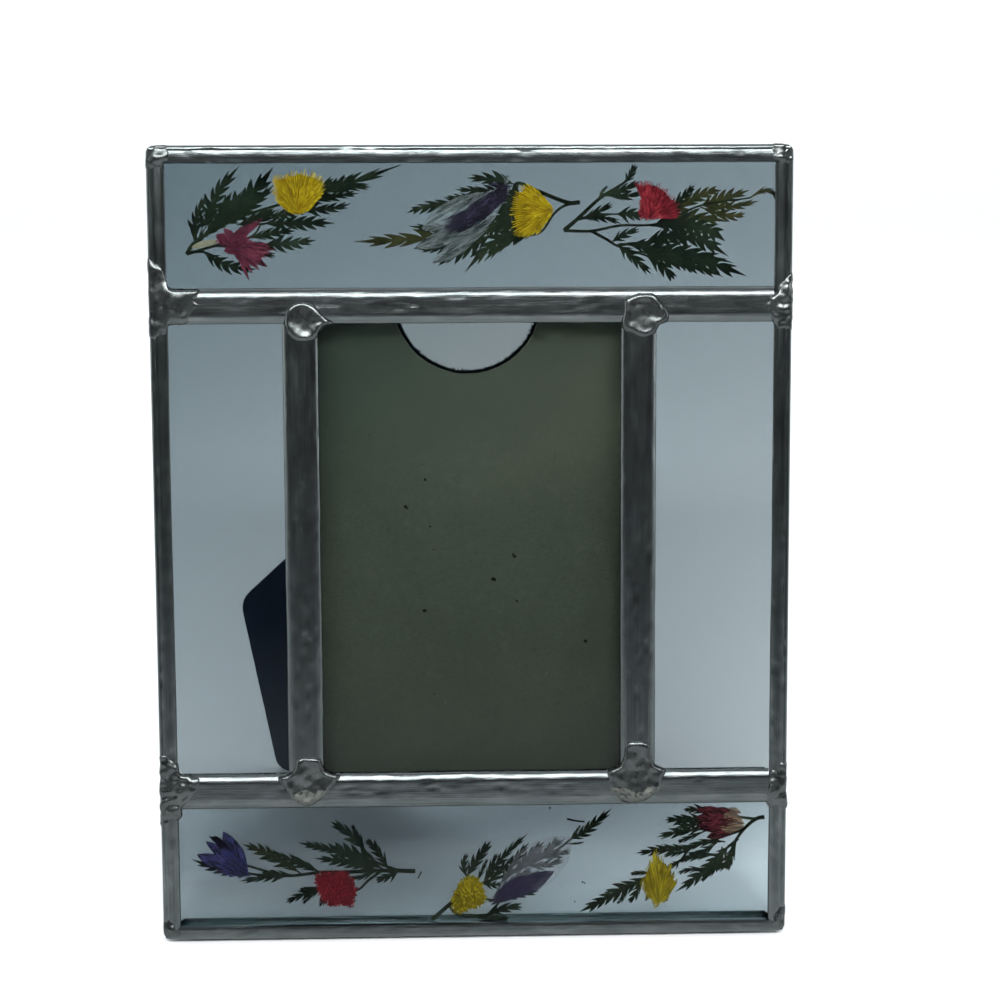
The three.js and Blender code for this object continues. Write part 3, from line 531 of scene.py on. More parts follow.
def border_section(face, groove=0.95, crisp=False):
    """U came: distance in from the outer wall, depth from the front face."""
    lip, inner = 0.28, BORDER_WALL

    def side(flip, face):
        points = [(0.0, 1.2), *arc((0.5, 0.5), 0.5, 180, 270, 5)]
        if groove:
            deep = 0.02 if crisp else 0.12
            points += [(groove - 0.3, -0.02), (groove - 0.12, deep * 0.5 - 0.01), (groove, deep),
                       (groove + 0.1, deep - 0.02), (groove + 0.45, -0.05), (face * 0.66, -0.05)]
        else:
            points += [(face * 0.4, -0.02), (face * 0.66, 0.0)]
        if crisp:
            points += [(face * 0.8, 0.0), (face - 0.2, 0.06),
                       *arc((face - lip, 0.72), lip, -15, 90, 3)]
        else:
            points += [(face * 0.84, 0.1), (face - 0.14, 0.3),
                       *arc((face - lip, 0.72), lip, -60, 90, 5)]
        points += [(face * 0.6, FLANGE), (inner, FLANGE), (inner, 1.8)]
        if flip:
            points = [(x, THICKNESS - y) for x, y in reversed(points)]
        return points

    rear = side(True, min(face, REAR_FACE))
    return side(False, face) + [(inner, MID_DEPTH)] + rear + [(0.0, MID_DEPTH)]


def bar_section():
    """H came: distance across from its middle, depth from the front face."""
    def face(half, steps):
        points = []
        for i in range(steps + 1):
            s = 2 * i / steps - 1
            points.append((half * s * 0.96, 0.54 * max(0.0, (abs(s) - 0.48) / 0.52) ** 2))
        return points

    front, back, half = BAR_FRONT / 2, BAR_BACK / 2, HEART / 2
    lip = 0.24
    right = arc((front - lip, 0.74), lip, -60, 90, 4)
    left = [(-x, y) for x, y in reversed(right)]
    far_right = [(x, THICKNESS - y) for x, y in reversed(arc((back - lip, 0.74), lip, -60, 90, 4))]
    far_left = [(-x, y) for x, y in reversed(far_right)]
    far = [(x, THICKNESS - y) for x, y in reversed(face(back, 14))]
    wall = [(half, FLANGE), (half, MID_DEPTH), (half, THICKNESS - FLANGE)]
    return (face(front, 18)[1:-1] + right + wall + far_right
            + far[1:-1] + far_left + [(-x, y) for x, y in reversed(wall)] + left)


def round_corner(point, radius=1.5):
    """Takes the sharp outer corners of the frame in."""
    x, y, z = point
    side = math.copysign(1, x)
    up = math.copysign(1, z - HEIGHT / 2)
    over_x = abs(x) - (WIDTH / 2 - radius)
    over_z = (z - HEIGHT / 2) * up - (HEIGHT / 2 - radius)
    reach = math.hypot(over_x, over_z)
    if over_x > 0 and over_z > 0 and reach > radius:
        x -= side * over_x * (1 - radius / reach)
        z -= up * over_z * (1 - radius / reach)
    return x, y, z


def came_piece(name, section, length, cut, to_panel, seed, step=1.0, dents=0.07):
    """A length of came. to_panel takes (across, depth, along) to panel axes."""
    builder = Builder()
    count = max(2, round(length / step))
    ease = 4 if cut == (0, 0) else 12
    distance = [0.0]
    for (x0, y0), (x1, y1) in zip(section, section[1:]):
        distance.append(distance[-1] + math.hypot(x1 - x0, y1 - y0))
    rings, places = [], []
    for r in range(count + 1):
        t = r / count
        ring, place = [], []
        for (x, y), d in zip(section, distance):
            start, end = cut[0] * abs(x) + SEAM / 2, length - cut[1] * abs(x) - SEAM / 2
            along = start + (end - start) * t
            # Hand-stretched lead: slow waves along it, small dents, none at the very ends.
            calm = min(1.0, ease * t, ease * (1 - t))
            wave = wander(along * 0.06, 0, 0, seed) * 0.1
            dent = wander(along * 0.35, x * 0.5, y * 0.5, seed + 1) * dents
            nick = min(0.0, wander(along * 0.9, x * 0.8, y * 0.6, seed + 2) + 0.32) * 0.35
            outer = (y - MID_DEPTH) / MID_DEPTH
            depth = y - outer * (max(0.0, dent) - nick) * calm
            across = x + (wave * calm if abs(x) > HEART else 0.0)
            ring.append(round_corner(to_panel(across, depth, along)))
            place.append((along, d + seed * 7.7))
        rings.append(ring)
        places.append(place)
    builder.rings(rings, places)
    piece = builder.make(name + "_metal", [MATERIALS["came"]], smooth=38)
    place_piece(piece, "came", name)


def add_came():
    half = WIDTH / 2
    side_cut = (BOTTOM_FACE / BORDER_FACE, 1)
    bottom_cut = (BORDER_FACE / BOTTOM_FACE,) * 2
    side = border_section(BORDER_FACE)
    came_piece("came_left", side, HEIGHT, side_cut, lambda a, d, l: (a - half, d, l), 1)
    came_piece("came_right", side, HEIGHT, side_cut, lambda a, d, l: (half - a, d, l), 2)
    came_piece("came_top", border_section(BORDER_FACE, crisp=True), WIDTH, (1, 1),
               lambda a, d, l: (l - half, d, HEIGHT - a), 3)
    came_piece("came_bottom", border_section(BOTTOM_FACE, None, True), WIDTH, bottom_cut,
               lambda a, d, l: (l - half, d, a), 4)
    bar = bar_section()
    bar_length = WIDTH - 2 * BORDER_FACE - SEAM
    for seed, (name, height) in enumerate(BAR_HEIGHT.items(), 5):
        came_piece(f"bar_{name}", bar, bar_length, (0, 0),
                   lambda a, d, l: (l - bar_length / 2, d, height + a), seed)
    foot = BAR_HEIGHT["lower"] + BAR_FRONT / 2
    upright_length = BAR_HEIGHT["upper"] - BAR_FRONT / 2 - foot - SEAM
    for seed, (name, x) in enumerate(UPRIGHT_PLACE.items(), 7):
        came_piece(f"upright_{name}", bar, upright_length, (0, 0),
                   lambda a, d, l: (x + a, d, foot + SEAM / 2 + l), seed)


# ---- Backing board and its tracks ------------------------------------------------------------
TRACK_FRONT = 6.75
TRACK_DEPTH = 4.8
TRACK_WALL = 0.7
TRACK_FACE = 3.3
TRACK_TOP = 116
TRACK_OUTER = {"left": -33.4, "right": 32.8, "bottom": 26.4}
BOARD_SIDES = (-32.3, 31.7)
BOARD_ENDS = (27.5, 121.1)
BOARD_DEPTH = (7.75, 9.35)
VELOUR_DEPTH = (9.45, 9.9)
NOTCH_RADIUS = 14
NOTCH_MIDDLE = -0.8
EDGE_STEP = 0.7


def track_section():
    """A square channel with softened corners: distance in, depth behind the came."""
    w, f, d, r = TRACK_WALL, TRACK_FACE, TRACK_DEPTH, 0.22
    return [*arc((r, r), r, 180, 270, 3), *arc((f - r, r), r, -90, 0, 3),
            *arc((f - r, w - r), r, 0, 90, 3), (w, w), (w, d / 2), (w, d - w),
            *arc((f - r, d - w + r), r, -90, 0, 3), *arc((f - r, d - r), r, 0, 90, 3),
            *arc((r, d - r), r, 90, 180, 3), (0, d / 2)]


def add_tracks():
    section = [(x, y + TRACK_FRONT) for x, y in track_section()]
    foot = TRACK_OUTER["bottom"] + TRACK_FACE + 0.15
    across = TRACK_OUTER["right"] - TRACK_OUTER["left"]

    def piece(name, length, to_panel, seed):
        came_piece(name, section, length, (0, 0), to_panel, seed, step=1.6, dents=0.03)

    left, right, bottom = TRACK_OUTER["left"], TRACK_OUTER["right"], TRACK_OUTER["bottom"]
    piece("track_bottom", across, lambda a, d, l: (left + l, d, bottom + a), 11)
    piece("track_left", TRACK_TOP - foot, lambda a, d, l: (left + a, d, foot + l), 12)
    piece("track_right", TRACK_TOP - foot, lambda a, d, l: (right - a, d, foot + l), 13)


def board_edge(margin, radius, rough, seed):
    """Outline of the board with its thumb notch, closely stepped, counterclockwise."""
    left, right = BOARD_SIDES[0] + margin, BOARD_SIDES[1] - margin
    bottom, top = BOARD_ENDS[0] + margin, BOARD_ENDS[1]
    corners = [(left, bottom), (right, bottom), (right, top), (NOTCH_MIDDLE + radius, top)]
    corners += arc((NOTCH_MIDDLE, top), radius, 0, -180, 70)[1:]
    corners.append((left, top))
    points = []
    for (x0, z0), (x1, z1) in zip(corners, corners[1:] + corners[:1]):
        count = max(1, round(math.hypot(x1 - x0, z1 - z0) / EDGE_STEP))
        for i in range(count):
            t = i / count
            x, z = x0 + (x1 - x0) * t, z0 + (z1 - z0) * t
            x += wander(x * 1.9, z * 1.9, 0, seed) * rough
            z += wander(x * 1.9, z * 1.9, 5, seed) * rough
            points.append((x, z))
    return points


def inset(edge, amount):
    """The same outline moved inward."""
    count = len(edge)
    moved = []
    for i in range(count):
        before, here, after = (Vector(edge[(i + k) % count]) for k in (-1, 0, 1))
        along = (after - before).normalized()
        moved.append((here.x - along.y * amount, here.y + along.x * amount))
    return moved


def counterclockwise(edge):
    """The same outline, turned round where it runs clockwise."""
    area = sum(x0 * y1 - x1 * y0 for (x0, y0), (x1, y1) in zip(edge, edge[1:] + edge[:1]))
    return edge[::-1] if area < 0 else edge


def slab(builder, edge, front, back, soft):
    """A plate with softened edges: front face, a rounded rim in three steps, back face."""
    rim = [(soft, front), (soft * 0.3, front + soft * 0.3), (0, front + soft),
           (0, back - soft), (soft * 0.3, back - soft * 0.3), (soft, back)]
    rings = []
    for amount, depth in rim:
        ring = inset(edge, amount) if amount else edge
        rings.append([builder.vertex((x, depth, z), (x, z)) for x, z in ring])
    count = len(edge)
    for a, b in zip(rings, rings[1:]):
        for i in range(count):
            j = (i + 1) % count
            builder.face((a[j], a[i], b[i], b[j]))
    flat = [Vector((x, z, 0)) for x, z in inset(edge, soft)]
    for a, b, c in fill_polygon(flat):
        builder.face((rings[0][a], rings[0][b], rings[0][c]))
        builder.face((rings[-1][c], rings[-1][b], rings[-1][a]))


def add_board():
    builder = Builder()
    slab(builder, board_edge(0, NOTCH_RADIUS, 0.12, 21), *BOARD_DEPTH, 0.18)
    piece = builder.make("board_sheet", [MATERIALS["chipboard"]], smooth=50)
    place_piece(piece, "chipboard", "backing_board")
    builder = Builder()
    slab(builder, board_edge(0.3, NOTCH_RADIUS - 0.6, 0.25, 22), *VELOUR_DEPTH, 0.16)
    piece = builder.make("velour_skin", [MATERIALS["velour"]], smooth=60)
    place_piece(piece, "velour", "backing_velour")


# ---- Glass -----------------------------------------------------------------------------------
def pane(name, x, depth, z, material):
    """A pane with ground edges."""
    builder = Builder()
    edge = [(x[0], z[0]), (x[1], z[0]), (x[1], z[1]), (x[0], z[1])]
    slab(builder, edge, *depth, 0.12)
    place_piece(builder.make(name + "_pane", [MATERIALS[material]]), "glass", name)


def add_glass():
    rim = FLANGE + 0.4
    wide = (rim - WIDTH / 2, WIDTH / 2 - rim)
    upper, lower = BAR_HEIGHT["upper"], BAR_HEIGHT["lower"]
    left, right = UPRIGHT_PLACE["left"], UPRIGHT_PLACE["right"]
    front = (PANE_FRONT, PANE_FRONT + THIN_GLASS)
    back = (FLOWER_SPACE[1], FLOWER_SPACE[1] + THIN_GLASS)
    thick = (PANE_FRONT, PANE_FRONT + THICK_GLASS)
    top, bottom = (upper + PANE_INSET, HEIGHT - rim), (rim, lower - PANE_INSET)
    middle = (lower + PANE_INSET, upper - PANE_INSET)
    pane("glass_top_front", wide, front, top, "front_glass")
    pane("glass_top_back", wide, back, top, "rear_glass")
    pane("glass_bottom_front", wide, front, bottom, "low_front_glass")
    pane("glass_bottom_back", wide, back, bottom, "low_glass")
    pane("glass_left", (wide[0], left - PANE_INSET), thick, middle, "glass")
    pane("glass_centre", (left + PANE_INSET, right - PANE_INSET), thick, middle, "print_glass")
    pane("glass_right", (right + PANE_INSET, wide[1]), thick, middle, "glass")


# ---- Pressed leaves --------------------------------------------------------------------------
# Each spray: how far its green has gone olive, its stalks as lines of points, a pale stub with
# its width, and its leaflets as base, middle, tip and half width. A fifth number in a leaflet
# takes the place of the spray's olive.
SPRAYS = {
    "sprig_top_left": {
        "olive": 0.05,
        "stalks": [
            [(-52.7, 129.7), (-50.9, 132), (-44.9, 135.7), (-34.9, 138.9), (-26.7, 141.3)],
            [(-50.9, 132), (-51, 134.4), (-50.8, 136.3)], [(-50.9, 131.7), (-49.6, 132.8), (-48, 135.2)],
            [(-52.7, 129.7), (-47.2, 131.3), (-40.9, 132.8), (-38.7, 135.4)],
            [(-51.9, 130.1), (-49.6, 130.1), (-46.7, 129)], [(-47.2, 131.3), (-42.6, 131), (-37.7, 131.1)],
        ],
        "stubs": [([(-51.6, 130.9), (-50.2, 131.4), (-48.4, 131.8), (-47.2, 132)], 0.62)],
        "leaflets": [
            ((-51.1, 131.7), (-50.8, 136.3), (-48.6, 140.7), 1),
            ((-48, 134.9), (-47.4, 139.8), (-42.7, 145.8), 1.5),
            ((-48.4, 134.9), (-42.4, 138.9), (-36.4, 145.7), 2),
            ((-44.9, 135.7), (-40.3, 138.9), (-36.4, 142.4), 1.1),
            ((-34.9, 138.9), (-26.7, 141.3), (-12.5, 146.1), 1.3),
            ((-30.8, 139.2), (-27.8, 141.6), (-25.3, 143.6), 1),
            ((-27.8, 140.8), (-24.5, 142.4), (-20.9, 144.1), 1),
            ((-26.7, 141), (-22.6, 141.8), (-18.3, 141.9), 0.7),
            ((-30.8, 138.9), (-25.4, 140.2), (-20.6, 140.8), 0.8),
            ((-33.2, 138.4), (-27.3, 137.9), (-22.1, 139), 0.9),
            ((-38.7, 135.3), (-32.2, 135.4), (-25.2, 135.3), 1.2),
            ((-41.2, 132.6), (-36.8, 133.5), (-32.5, 133.9), 1),
            ((-38.8, 131.3), (-33.9, 131.6), (-28.7, 132.2), 1.2),
            ((-42.6, 131.1), (-39.6, 130.1), (-36.2, 129.2), 0.8),
            ((-49.6, 130.1), (-45.1, 127.6), (-39.7, 126.9), 1.1),
            ((-42.2, 135.2), (-38.7, 136.5), (-37.6, 138.4), 1),
            ((-50.9, 132), (-48.5, 133.9), (-44.9, 135.2), 0.6),
            ((-45.9, 134.7), (-41.9, 138.1), (-37.4, 141), 1.3),
            ((-49.3, 133), (-46.5, 136.6), (-44.2, 141.2), 1.2),
            ((-47.4, 134), (-44.9, 137.6), (-41, 141.6), 1.1, 0.08),
            ((-50.4, 132.6), (-48.9, 136.4), (-46.8, 139.4), 0.9),
            ((-43.4, 135), (-39.6, 136.2), (-35.6, 137.9), 1.0, 0.08),
            ((-37.6, 136), (-34, 137.2), (-30.2, 137.2), 0.8),
        ],
    },
    "sprig_top_middle": {
        "olive": 0.1,
        "stalks": [
            [(20.2, 139), (17.7, 139), (12.1, 141.2), (8.5, 142.5), (7.3, 139.4), (4.6, 135), (3.2, 133.6)],
            [(20.2, 139), (17.4, 138.4), (15.3, 136.8), (12.9, 133.5), (9.1, 132.7)],
        ],
        "leaflets": [
            ((7.9, 142.4), (4.1, 143.2), (-0.8, 143.5), 1.2), ((7.6, 141.2), (1.7, 141.2), (-3, 141.4), 0.8),
            ((7.3, 139.7), (-0.4, 139.9), (-5.2, 140), 0.7), ((6.7, 138.8), (-5.7, 138.6), (-12, 137.1), 1.1),
            ((4.6, 135), (-4.2, 134.2), (-11.9, 134.8), 0.9), ((3.7, 133.9), (-9.3, 132.5), (-22, 131.9), 1.4, 0.5),
            ((4, 133.9), (-4.3, 131), (-10.5, 130.6), 1), ((4, 133.3), (-2.2, 129.8), (-7.4, 127.9), 1.2),
            ((12.9, 133.5), (6.1, 132.7), (-1.3, 126.1), 1.6), ((10.6, 133.6), (4.9, 135), (2, 132.4), 1.5),
            ((11.5, 133.3), (7, 132.1), (2.2, 128), 1), ((7.9, 140.9), (7.3, 137.1), (4.9, 135.6), 1.5, 0.05),
            ((8.8, 142.2), (6.9, 138.4), (5.2, 134.6), 1.7, 0.05),
            ((8.4, 138.2), (5.8, 136), (3.2, 132.8), 1.6, 0.05),
        ],
    },
    "sprig_top_right": {
        "olive": 0.06,
        "stalks": [
            [(17.2, 133.8), (19.6, 135.8), (24, 139.8), (28.3, 142.5), (29.7, 144.4)],
            [(17.2, 133.8), (22.3, 133.7), (27.8, 134.7), (34.7, 135), (42.6, 138.3), (51.9, 139.7)],
            [(22.3, 133.7), (25.1, 132.2), (27.3, 130.9), (33, 129), (36.3, 128.1)],
            [(27.3, 131.1), (34.7, 131.7), (40.2, 131.4)], [(19.6, 135.8), (23.7, 136.7), (27, 136.8)],
        ],
        "leaflets": [
            ((28.6, 142.6), (29.7, 144.1), (30.5, 146), 0.8), ((23.7, 139.7), (24.5, 141.1), (25.4, 142), 0.3),
            ((24.5, 140.1), (27.8, 141.1), (31.5, 142.9), 0.8), ((25.3, 140.3), (28.6, 140.1), (31.9, 140.9), 0.7),
            ((20.7, 135.9), (23.4, 137.1), (26.4, 138.7), 0.8), ((20.4, 135.8), (23.7, 136.3), (28.1, 134.9), 0.8),
            ((27, 136.8), (29.7, 136.8), (31.9, 136.3), 1.2), ((34.7, 135.2), (39, 139.5), (41.7, 142.2), 0.8),
            ((34.7, 135.2), (41.7, 139.7), (46.7, 141.1), 1.2, 0.55),
            ((42.6, 138.3), (47, 139.5), (51.9, 141.2), 1.3, 0.55),
            ((51.9, 139.7), (55.2, 141.1), (57, 139.3), 0.6, 0.55),
            ((43.9, 138.4), (48.3, 138.1), (53.8, 139.2), 0.8, 0.55),
            ((42.6, 138.1), (47.8, 136.5), (51.2, 137), 0.9, 0.55),
            ((34.7, 135), (40.1, 136.2), (48.4, 135.3), 1.4, 0.55),
            ((33.3, 134.6), (41.5, 134.6), (47.4, 131.7), 2.1), ((31.9, 131.4), (40.1, 132.5), (48, 128.9), 1.6),
            ((29.2, 131.1), (37.4, 130), (49.1, 127.7), 1.5), ((30.8, 129.8), (41.5, 128.6), (51.5, 125.2), 1.7),
            ((33, 129), (40.2, 127.6), (47.1, 125.1), 1.1), ((32.5, 129.1), (35.8, 127), (38, 124.6), 1.2),
            ((33, 129), (38.8, 127.6), (41.3, 125.7), 0.7), ((27.3, 130.9), (30.3, 128.7), (33.6, 125.6), 1),
            ((26.2, 131.7), (28.4, 133), (31.4, 134.1), 0.8),
        ],
    },
    "sprig_bottom_left": {
        "olive": 0.03,
        "stalks": [
            [(-11.5, 11.9), (-17.5, 12.1), (-24.9, 11.9), (-29.8, 11.9), (-36.3, 11.3), (-41, 12.6), (-45.9, 14.2)],
            [(-14.6, 12), (-19, 13.8), (-21, 16), (-22.2, 18.1)],
            [(-18.1, 12), (-20.5, 10.2), (-23.4, 8.1), (-30.5, 8.9)], [(-38.1, 11.5), (-42.4, 11.7), (-46.8, 13)],
        ],
        "leaflets": [
            ((-21, 16), (-23.9, 19.3), (-27.7, 21.9), 1.1), ((-21.9, 17.2), (-22.7, 19.3), (-23.6, 21.3), 0.5),
            ((-16.6, 12.3), (-19, 16.2), (-21.1, 18.2), 0.9), ((-20.4, 15), (-27.7, 16.4), (-33.9, 17.8), 0.9),
            ((-26.3, 15.7), (-28.6, 16.4), (-30.6, 17.9), 0.4), ((-17.5, 12.3), (-23.4, 15.1), (-28, 17), 1.6),
            ((-19, 12.3), (-24.8, 13.9), (-31, 14.7), 1.1), ((-29.8, 11.9), (-35.1, 14.3), (-39.6, 16.2), 0.8),
            ((-33.4, 11.6), (-39.2, 15.3), (-44.7, 17.6), 1.3, 0.2),
            ((-29.8, 11.9), (-32.8, 13.7), (-35.4, 15.4), 0.5), ((-35.1, 11.5), (-39.8, 11.1), (-45.4, 10.3), 0.9),
            ((-42.4, 11.7), (-48.3, 12.7), (-54.2, 14.8), 1.1), ((-43.9, 13.6), (-47.9, 17.8), (-50.5, 19.1), 0.4),
            ((-29.3, 8.7), (-33.4, 7.4), (-36.5, 5.9), 0.8), ((-29.3, 8.7), (-31.7, 7.1), (-33.2, 5.6), 0.4),
            ((-28.7, 8.7), (-32.2, 8.7), (-33.7, 8.4), 0.4), ((-28.1, 8.5), (-29.3, 6.1), (-30.1, 5.4), 0.6),
            ((-14.6, 12), (-17, 10.8), (-19.2, 10.2), 0.9), ((-19, 12), (-21.9, 10.8), (-24, 10.7), 0.6),
        ],
    },
    "sprig_bottom_middle": {
        "olive": 0.08,
        "stalks": [
            [(-8.3, 2.3), (-5.1, 5.1), (-2.3, 7.6), (1.4, 9.3), (7.5, 11.5), (14.9, 15.2), (18.6, 17.9)],
            [(-5.1, 5.1), (-3.3, 3.3), (2.1, 3.1), (6, 4.2)], [(-2.3, 7.6), (3.1, 6), (7.5, 7)],
            [(-2.3, 7.6), (-1.6, 11.1)],
        ],
        "leaflets": [
            ((-1.6, 10.6), (-2.2, 13.2), (-1.4, 15.3), 0.7), ((-1.6, 10.6), (0.6, 14.1), (3.1, 17.7), 1.1),
            ((0.1, 9.1), (1.6, 12.3), (2.4, 14.1), 0.4), ((1.6, 9.3), (3.1, 12.6), (4.3, 15.2), 0.7),
            ((2.1, 9.6), (5.6, 14.6), (10.2, 19), 0.8), ((2.6, 9.6), (5.1, 12), (7.9, 14.8), 0.7),
            ((18.3, 17.7), (22, 19.9), (26.4, 23.8), 1), ((18.1, 17.4), (19.6, 19.4), (20.3, 20.5), 0.3),
            ((17.3, 16.9), (19.8, 16.9), (21, 17.2), 0.2), ((7.5, 11.5), (10.5, 14.5), (13.4, 17.3), 1),
            ((12.4, 14), (14.4, 15.9), (15.9, 18.4), 0.7), ((12.4, 14), (15.6, 14.7), (18.4, 15.4), 0.7),
            ((10, 12.7), (13.7, 12.7), (17.1, 13.8), 0.8), ((7.5, 11.5), (11.2, 10.4), (14.3, 11.3), 1),
            ((4.8, 8.9), (7.6, 13.4), (10.5, 17.3), 0.9), ((9.9, 12.8), (13.3, 15.1), (17.5, 17.9), 0.8),
            ((3.1, 6), (7.5, 7), (12.4, 7.6), 0.9), ((2.1, 3.1), (5.5, 4.2), (9.2, 4.4), 1),
            ((-1.1, 3.2), (2.6, 2.4), (7.2, 2.4), 0.5), ((1.4, 9.3), (3.6, 9), (5, 9.3), 0.7),
            ((2.6, 5.6), (8.2, 7.6), (13.4, 10.9), 0.9), ((3.4, 6.4), (7.2, 9.6), (11.4, 12.6), 0.8),
        ],
    },
    "sprig_bottom_right": {
        "olive": 0.1,
        "stalks": [
            [(55.8, 21.7), (54.1, 21.3), (51.8, 19.3), (49.8, 16.2), (48.3, 11.6)],
            [(51.8, 19.3), (46, 17.3), (41.7, 15.8), (39, 12.8), (33.4, 10.3), (28.9, 8)],
            [(54.1, 21.3), (48.5, 21.9), (43.4, 21.2)], [(50.8, 17.5), (47.3, 14.5), (43.5, 10.6)],
            [(48.5, 18.3), (43.5, 19.4)],
        ],
        "leaflets": [
            ((48.5, 21.9), (42.4, 23.3), (40.5, 22.8), 0.8), ((44.7, 21.5), (39.9, 21.4), (36.5, 21.3), 1),
            ((44, 19.4), (39.7, 19), (35, 17.9), 0.9), ((44.7, 19.1), (40.9, 17.6), (39.1, 16.9), 0.5),
            ((44.7, 16.8), (39.9, 15.9), (35.6, 16.6), 0.4), ((41.7, 15.8), (35.9, 15.4), (30.9, 14.8), 0.9),
            ((41, 15.1), (38.4, 14.6), (36.3, 14), 0.5), ((47.3, 14.5), (41.5, 13.8), (39.6, 12.8), 0.7),
            ((44.5, 11.6), (41, 11.4), (39.2, 10.6), 0.5), ((49, 16.2), (44.8, 11.6), (38.5, 6.9), 1.3),
            ((47.7, 15.9), (46.2, 12.2), (43.2, 9), 1.0), ((50.4, 17), (48.9, 13.4), (46.8, 11.2), 0.9),
            ((46.6, 16.6), (43, 14.4), (39.8, 13.6), 0.9), ((48.3, 16.8), (43.6, 16.6), (39.4, 14.6), 0.8),
            ((45.8, 19.9), (42.4, 20.4), (38.4, 19.6), 0.9), ((49.8, 16.2), (49.3, 13.1), (48.5, 11.2), 0.7),
            ((39.7, 13.5), (38.2, 12.3), (37.2, 12.5), 0.7), ((33.4, 10.3), (26.6, 6.7), (20, 3.3), 1.3),
            ((34.4, 10.8), (31.4, 10.9), (30, 10.6), 0.5), ((28.9, 8), (26.8, 7.4), (24.8, 7), 0.3),
            ((32.4, 9.7), (30.9, 6.7), (29.6, 5.1), 0.7), ((29.9, 8.5), (28.4, 5.9), (27.3, 4.9), 0.4),
            ((34.7, 10.8), (33.4, 6.4), (32.8, 5.5), 0.3),
        ],
    },
}


def bend_line(base, middle, tip):
    """A curve from base through middle to tip: place and direction at t."""
    a, m, b = Vector(base), Vector(middle), Vector(tip)
    pull = 2 * m - (a + b) / 2

    def at(t):
        place = (1 - t) ** 2 * a + 2 * t * (1 - t) * pull + t * t * b
        along = 2 * (1 - t) * (pull - a) + 2 * t * (b - pull)
        return place, along.normalized()
    return at, (m - a).length + (b - m).length


def smooth_line(points, steps):
    """Points along a Catmull-Rom curve, with directions."""
    ends = [Vector(points[0]) * 2 - Vector(points[1])] + [Vector(p) for p in points]
    ends.append(Vector(points[-1]) * 2 - Vector(points[-2]))
    line = []
    for i in range(1, len(ends) - 2):
        p0, p1, p2, p3 = ends[i - 1:i + 3]
        for k in range(steps + (i == len(ends) - 3)):
            t = k / steps
            place = 0.5 * (2 * p1 + (p2 - p0) * t + (2 * p0 - 5 * p1 + 4 * p2 - p3) * t * t
                           + (3 * p1 - p0 - 3 * p2 + p3) * t ** 3)
            line.append(place)
    out = []
    for i, place in enumerate(line):
        along = (line[min(i + 1, len(line) - 1)] - line[max(i - 1, 0)]).normalized()
        out.append((place, along))
    return out


def ribbon(builder, line, half_at, depth, thick, tint, slot=0):
    """A flat strip along a line, its half width given by half_at(t)."""
    left, right, length = [], [], 0.0
    for i, (place, along) in enumerate(line):
        t = i / (len(line) - 1)
        half = half_at(t)
        side = Vector((-along.y, along.x)) * half
        if i:
            length += (place - line[i - 1][0]).length
        left.append((place + side, (length, half)))
        right.append((place - side, (length, -half)))
    both = right + left[::-1]
    builder.plate([tuple(p) for p, _ in both], depth, depth + thick, slot, tint,
                  [uv for _, uv in both])


# One tooth of a leaflet: place in steps, width, and place where the leaflet's swell is read.
TOOTH = ((0.45, 0.7, 0.3), (1.0, 1.06, 0.7), (1.6, 1.3, 1.0), (1.42, 0.98, 1.1), (1.16, 0.6, 1.1))


def leaflet(builder, base, middle, tip, half, tint, depth, chance):
    """A deeply toothed leaflet with its teeth pointing forward, and a raised midrib."""
    at, length = bend_line(base, middle, tip)
    lobes = max(3, min(7, round(length / 2.1)))
    start, step = 0.06, 0.76 / lobes

    def swell(t):
        t = min(max(t, 0.0), 1.0)
        return 1.12 * half * min(1, 0.25 + t / 0.4) * (1 - t ** 2.4) ** 0.8

    def side(sign):
        marks = [(0.0, 0.13)]
        for k in range(lobes):
            t = start + k * step
            grow = chance.uniform(0.76, 1.16)
            deep = chance.uniform(0.16, 0.36)
            marks.append((t, max(0.14, deep * swell(t))))
            marks += [(t + ahead * step, wide * grow * swell(t + read * step))
                      for ahead, wide, read in TOOTH]
        out = []
        for t, across in marks:
            place, along = at(min(t, 1.0))
            edge = place + Vector((-along.y, along.x)) * across * sign
            out.append((tuple(edge), (t * length, across * sign)))
        return out

    peak, _ = at(1.0)
    loop = side(-1) + [(tuple(peak), (length, 0))] + side(1)[::-1]
    edge = [p for p, _ in loop]
    tints = [min(1, max(0, tint + chance.uniform(-0.05, 0.07))) for _ in edge]
    builder.plate(edge, depth, depth + 0.07, 0, tints, [uv for _, uv in loop])
    rib = [at(0.92 * k / 8) for k in range(9)]
    ribbon(builder, rib, lambda t: 0.11 * (1 - 0.8 * t), depth - 0.03, 0.05, min(1, tint + 0.12))


def add_sprays():
    for seed, (name, spray) in enumerate(SPRAYS.items()):
        chance = random.Random(100 + seed)
        builder = Builder()
        low, high = LEAF_LAYER
        count = len(spray["leaflets"])
        for i, (base, middle, tip, half, *olive) in enumerate(spray["leaflets"]):
            # Steps of seven deal the leaflets out over the layer, neighbours far apart.
            depth = low + (high - low) * ((i * 7) % count) / count
            tint = olive[0] if olive else spray["olive"]
            leaflet(builder, base, middle, tip, half, tint, depth, chance)
        for i, points in enumerate(spray["stalks"]):
            depth = low - 0.035 + 0.012 * i
            wide = 0.42 if i == 0 else 0.3
            line = smooth_line(points, 6)
            ribbon(builder, line, lambda t: wide * (1 - 0.55 * t), depth, 0.1, 0.12)
        for points, wide in spray.get("stubs", []):
            line = smooth_line(points, 6)
            ribbon(builder, line, lambda t: wide * (0.35 + 2.2 * t * (1.05 - t)),
                   low - 0.09, 0.08, 0.5, slot=1)
        piece = builder.make(name.replace("sprig", "spray"), [MATERIALS["leaf"], MATERIALS["stub"]])
        place_piece(piece, "leaf", name)


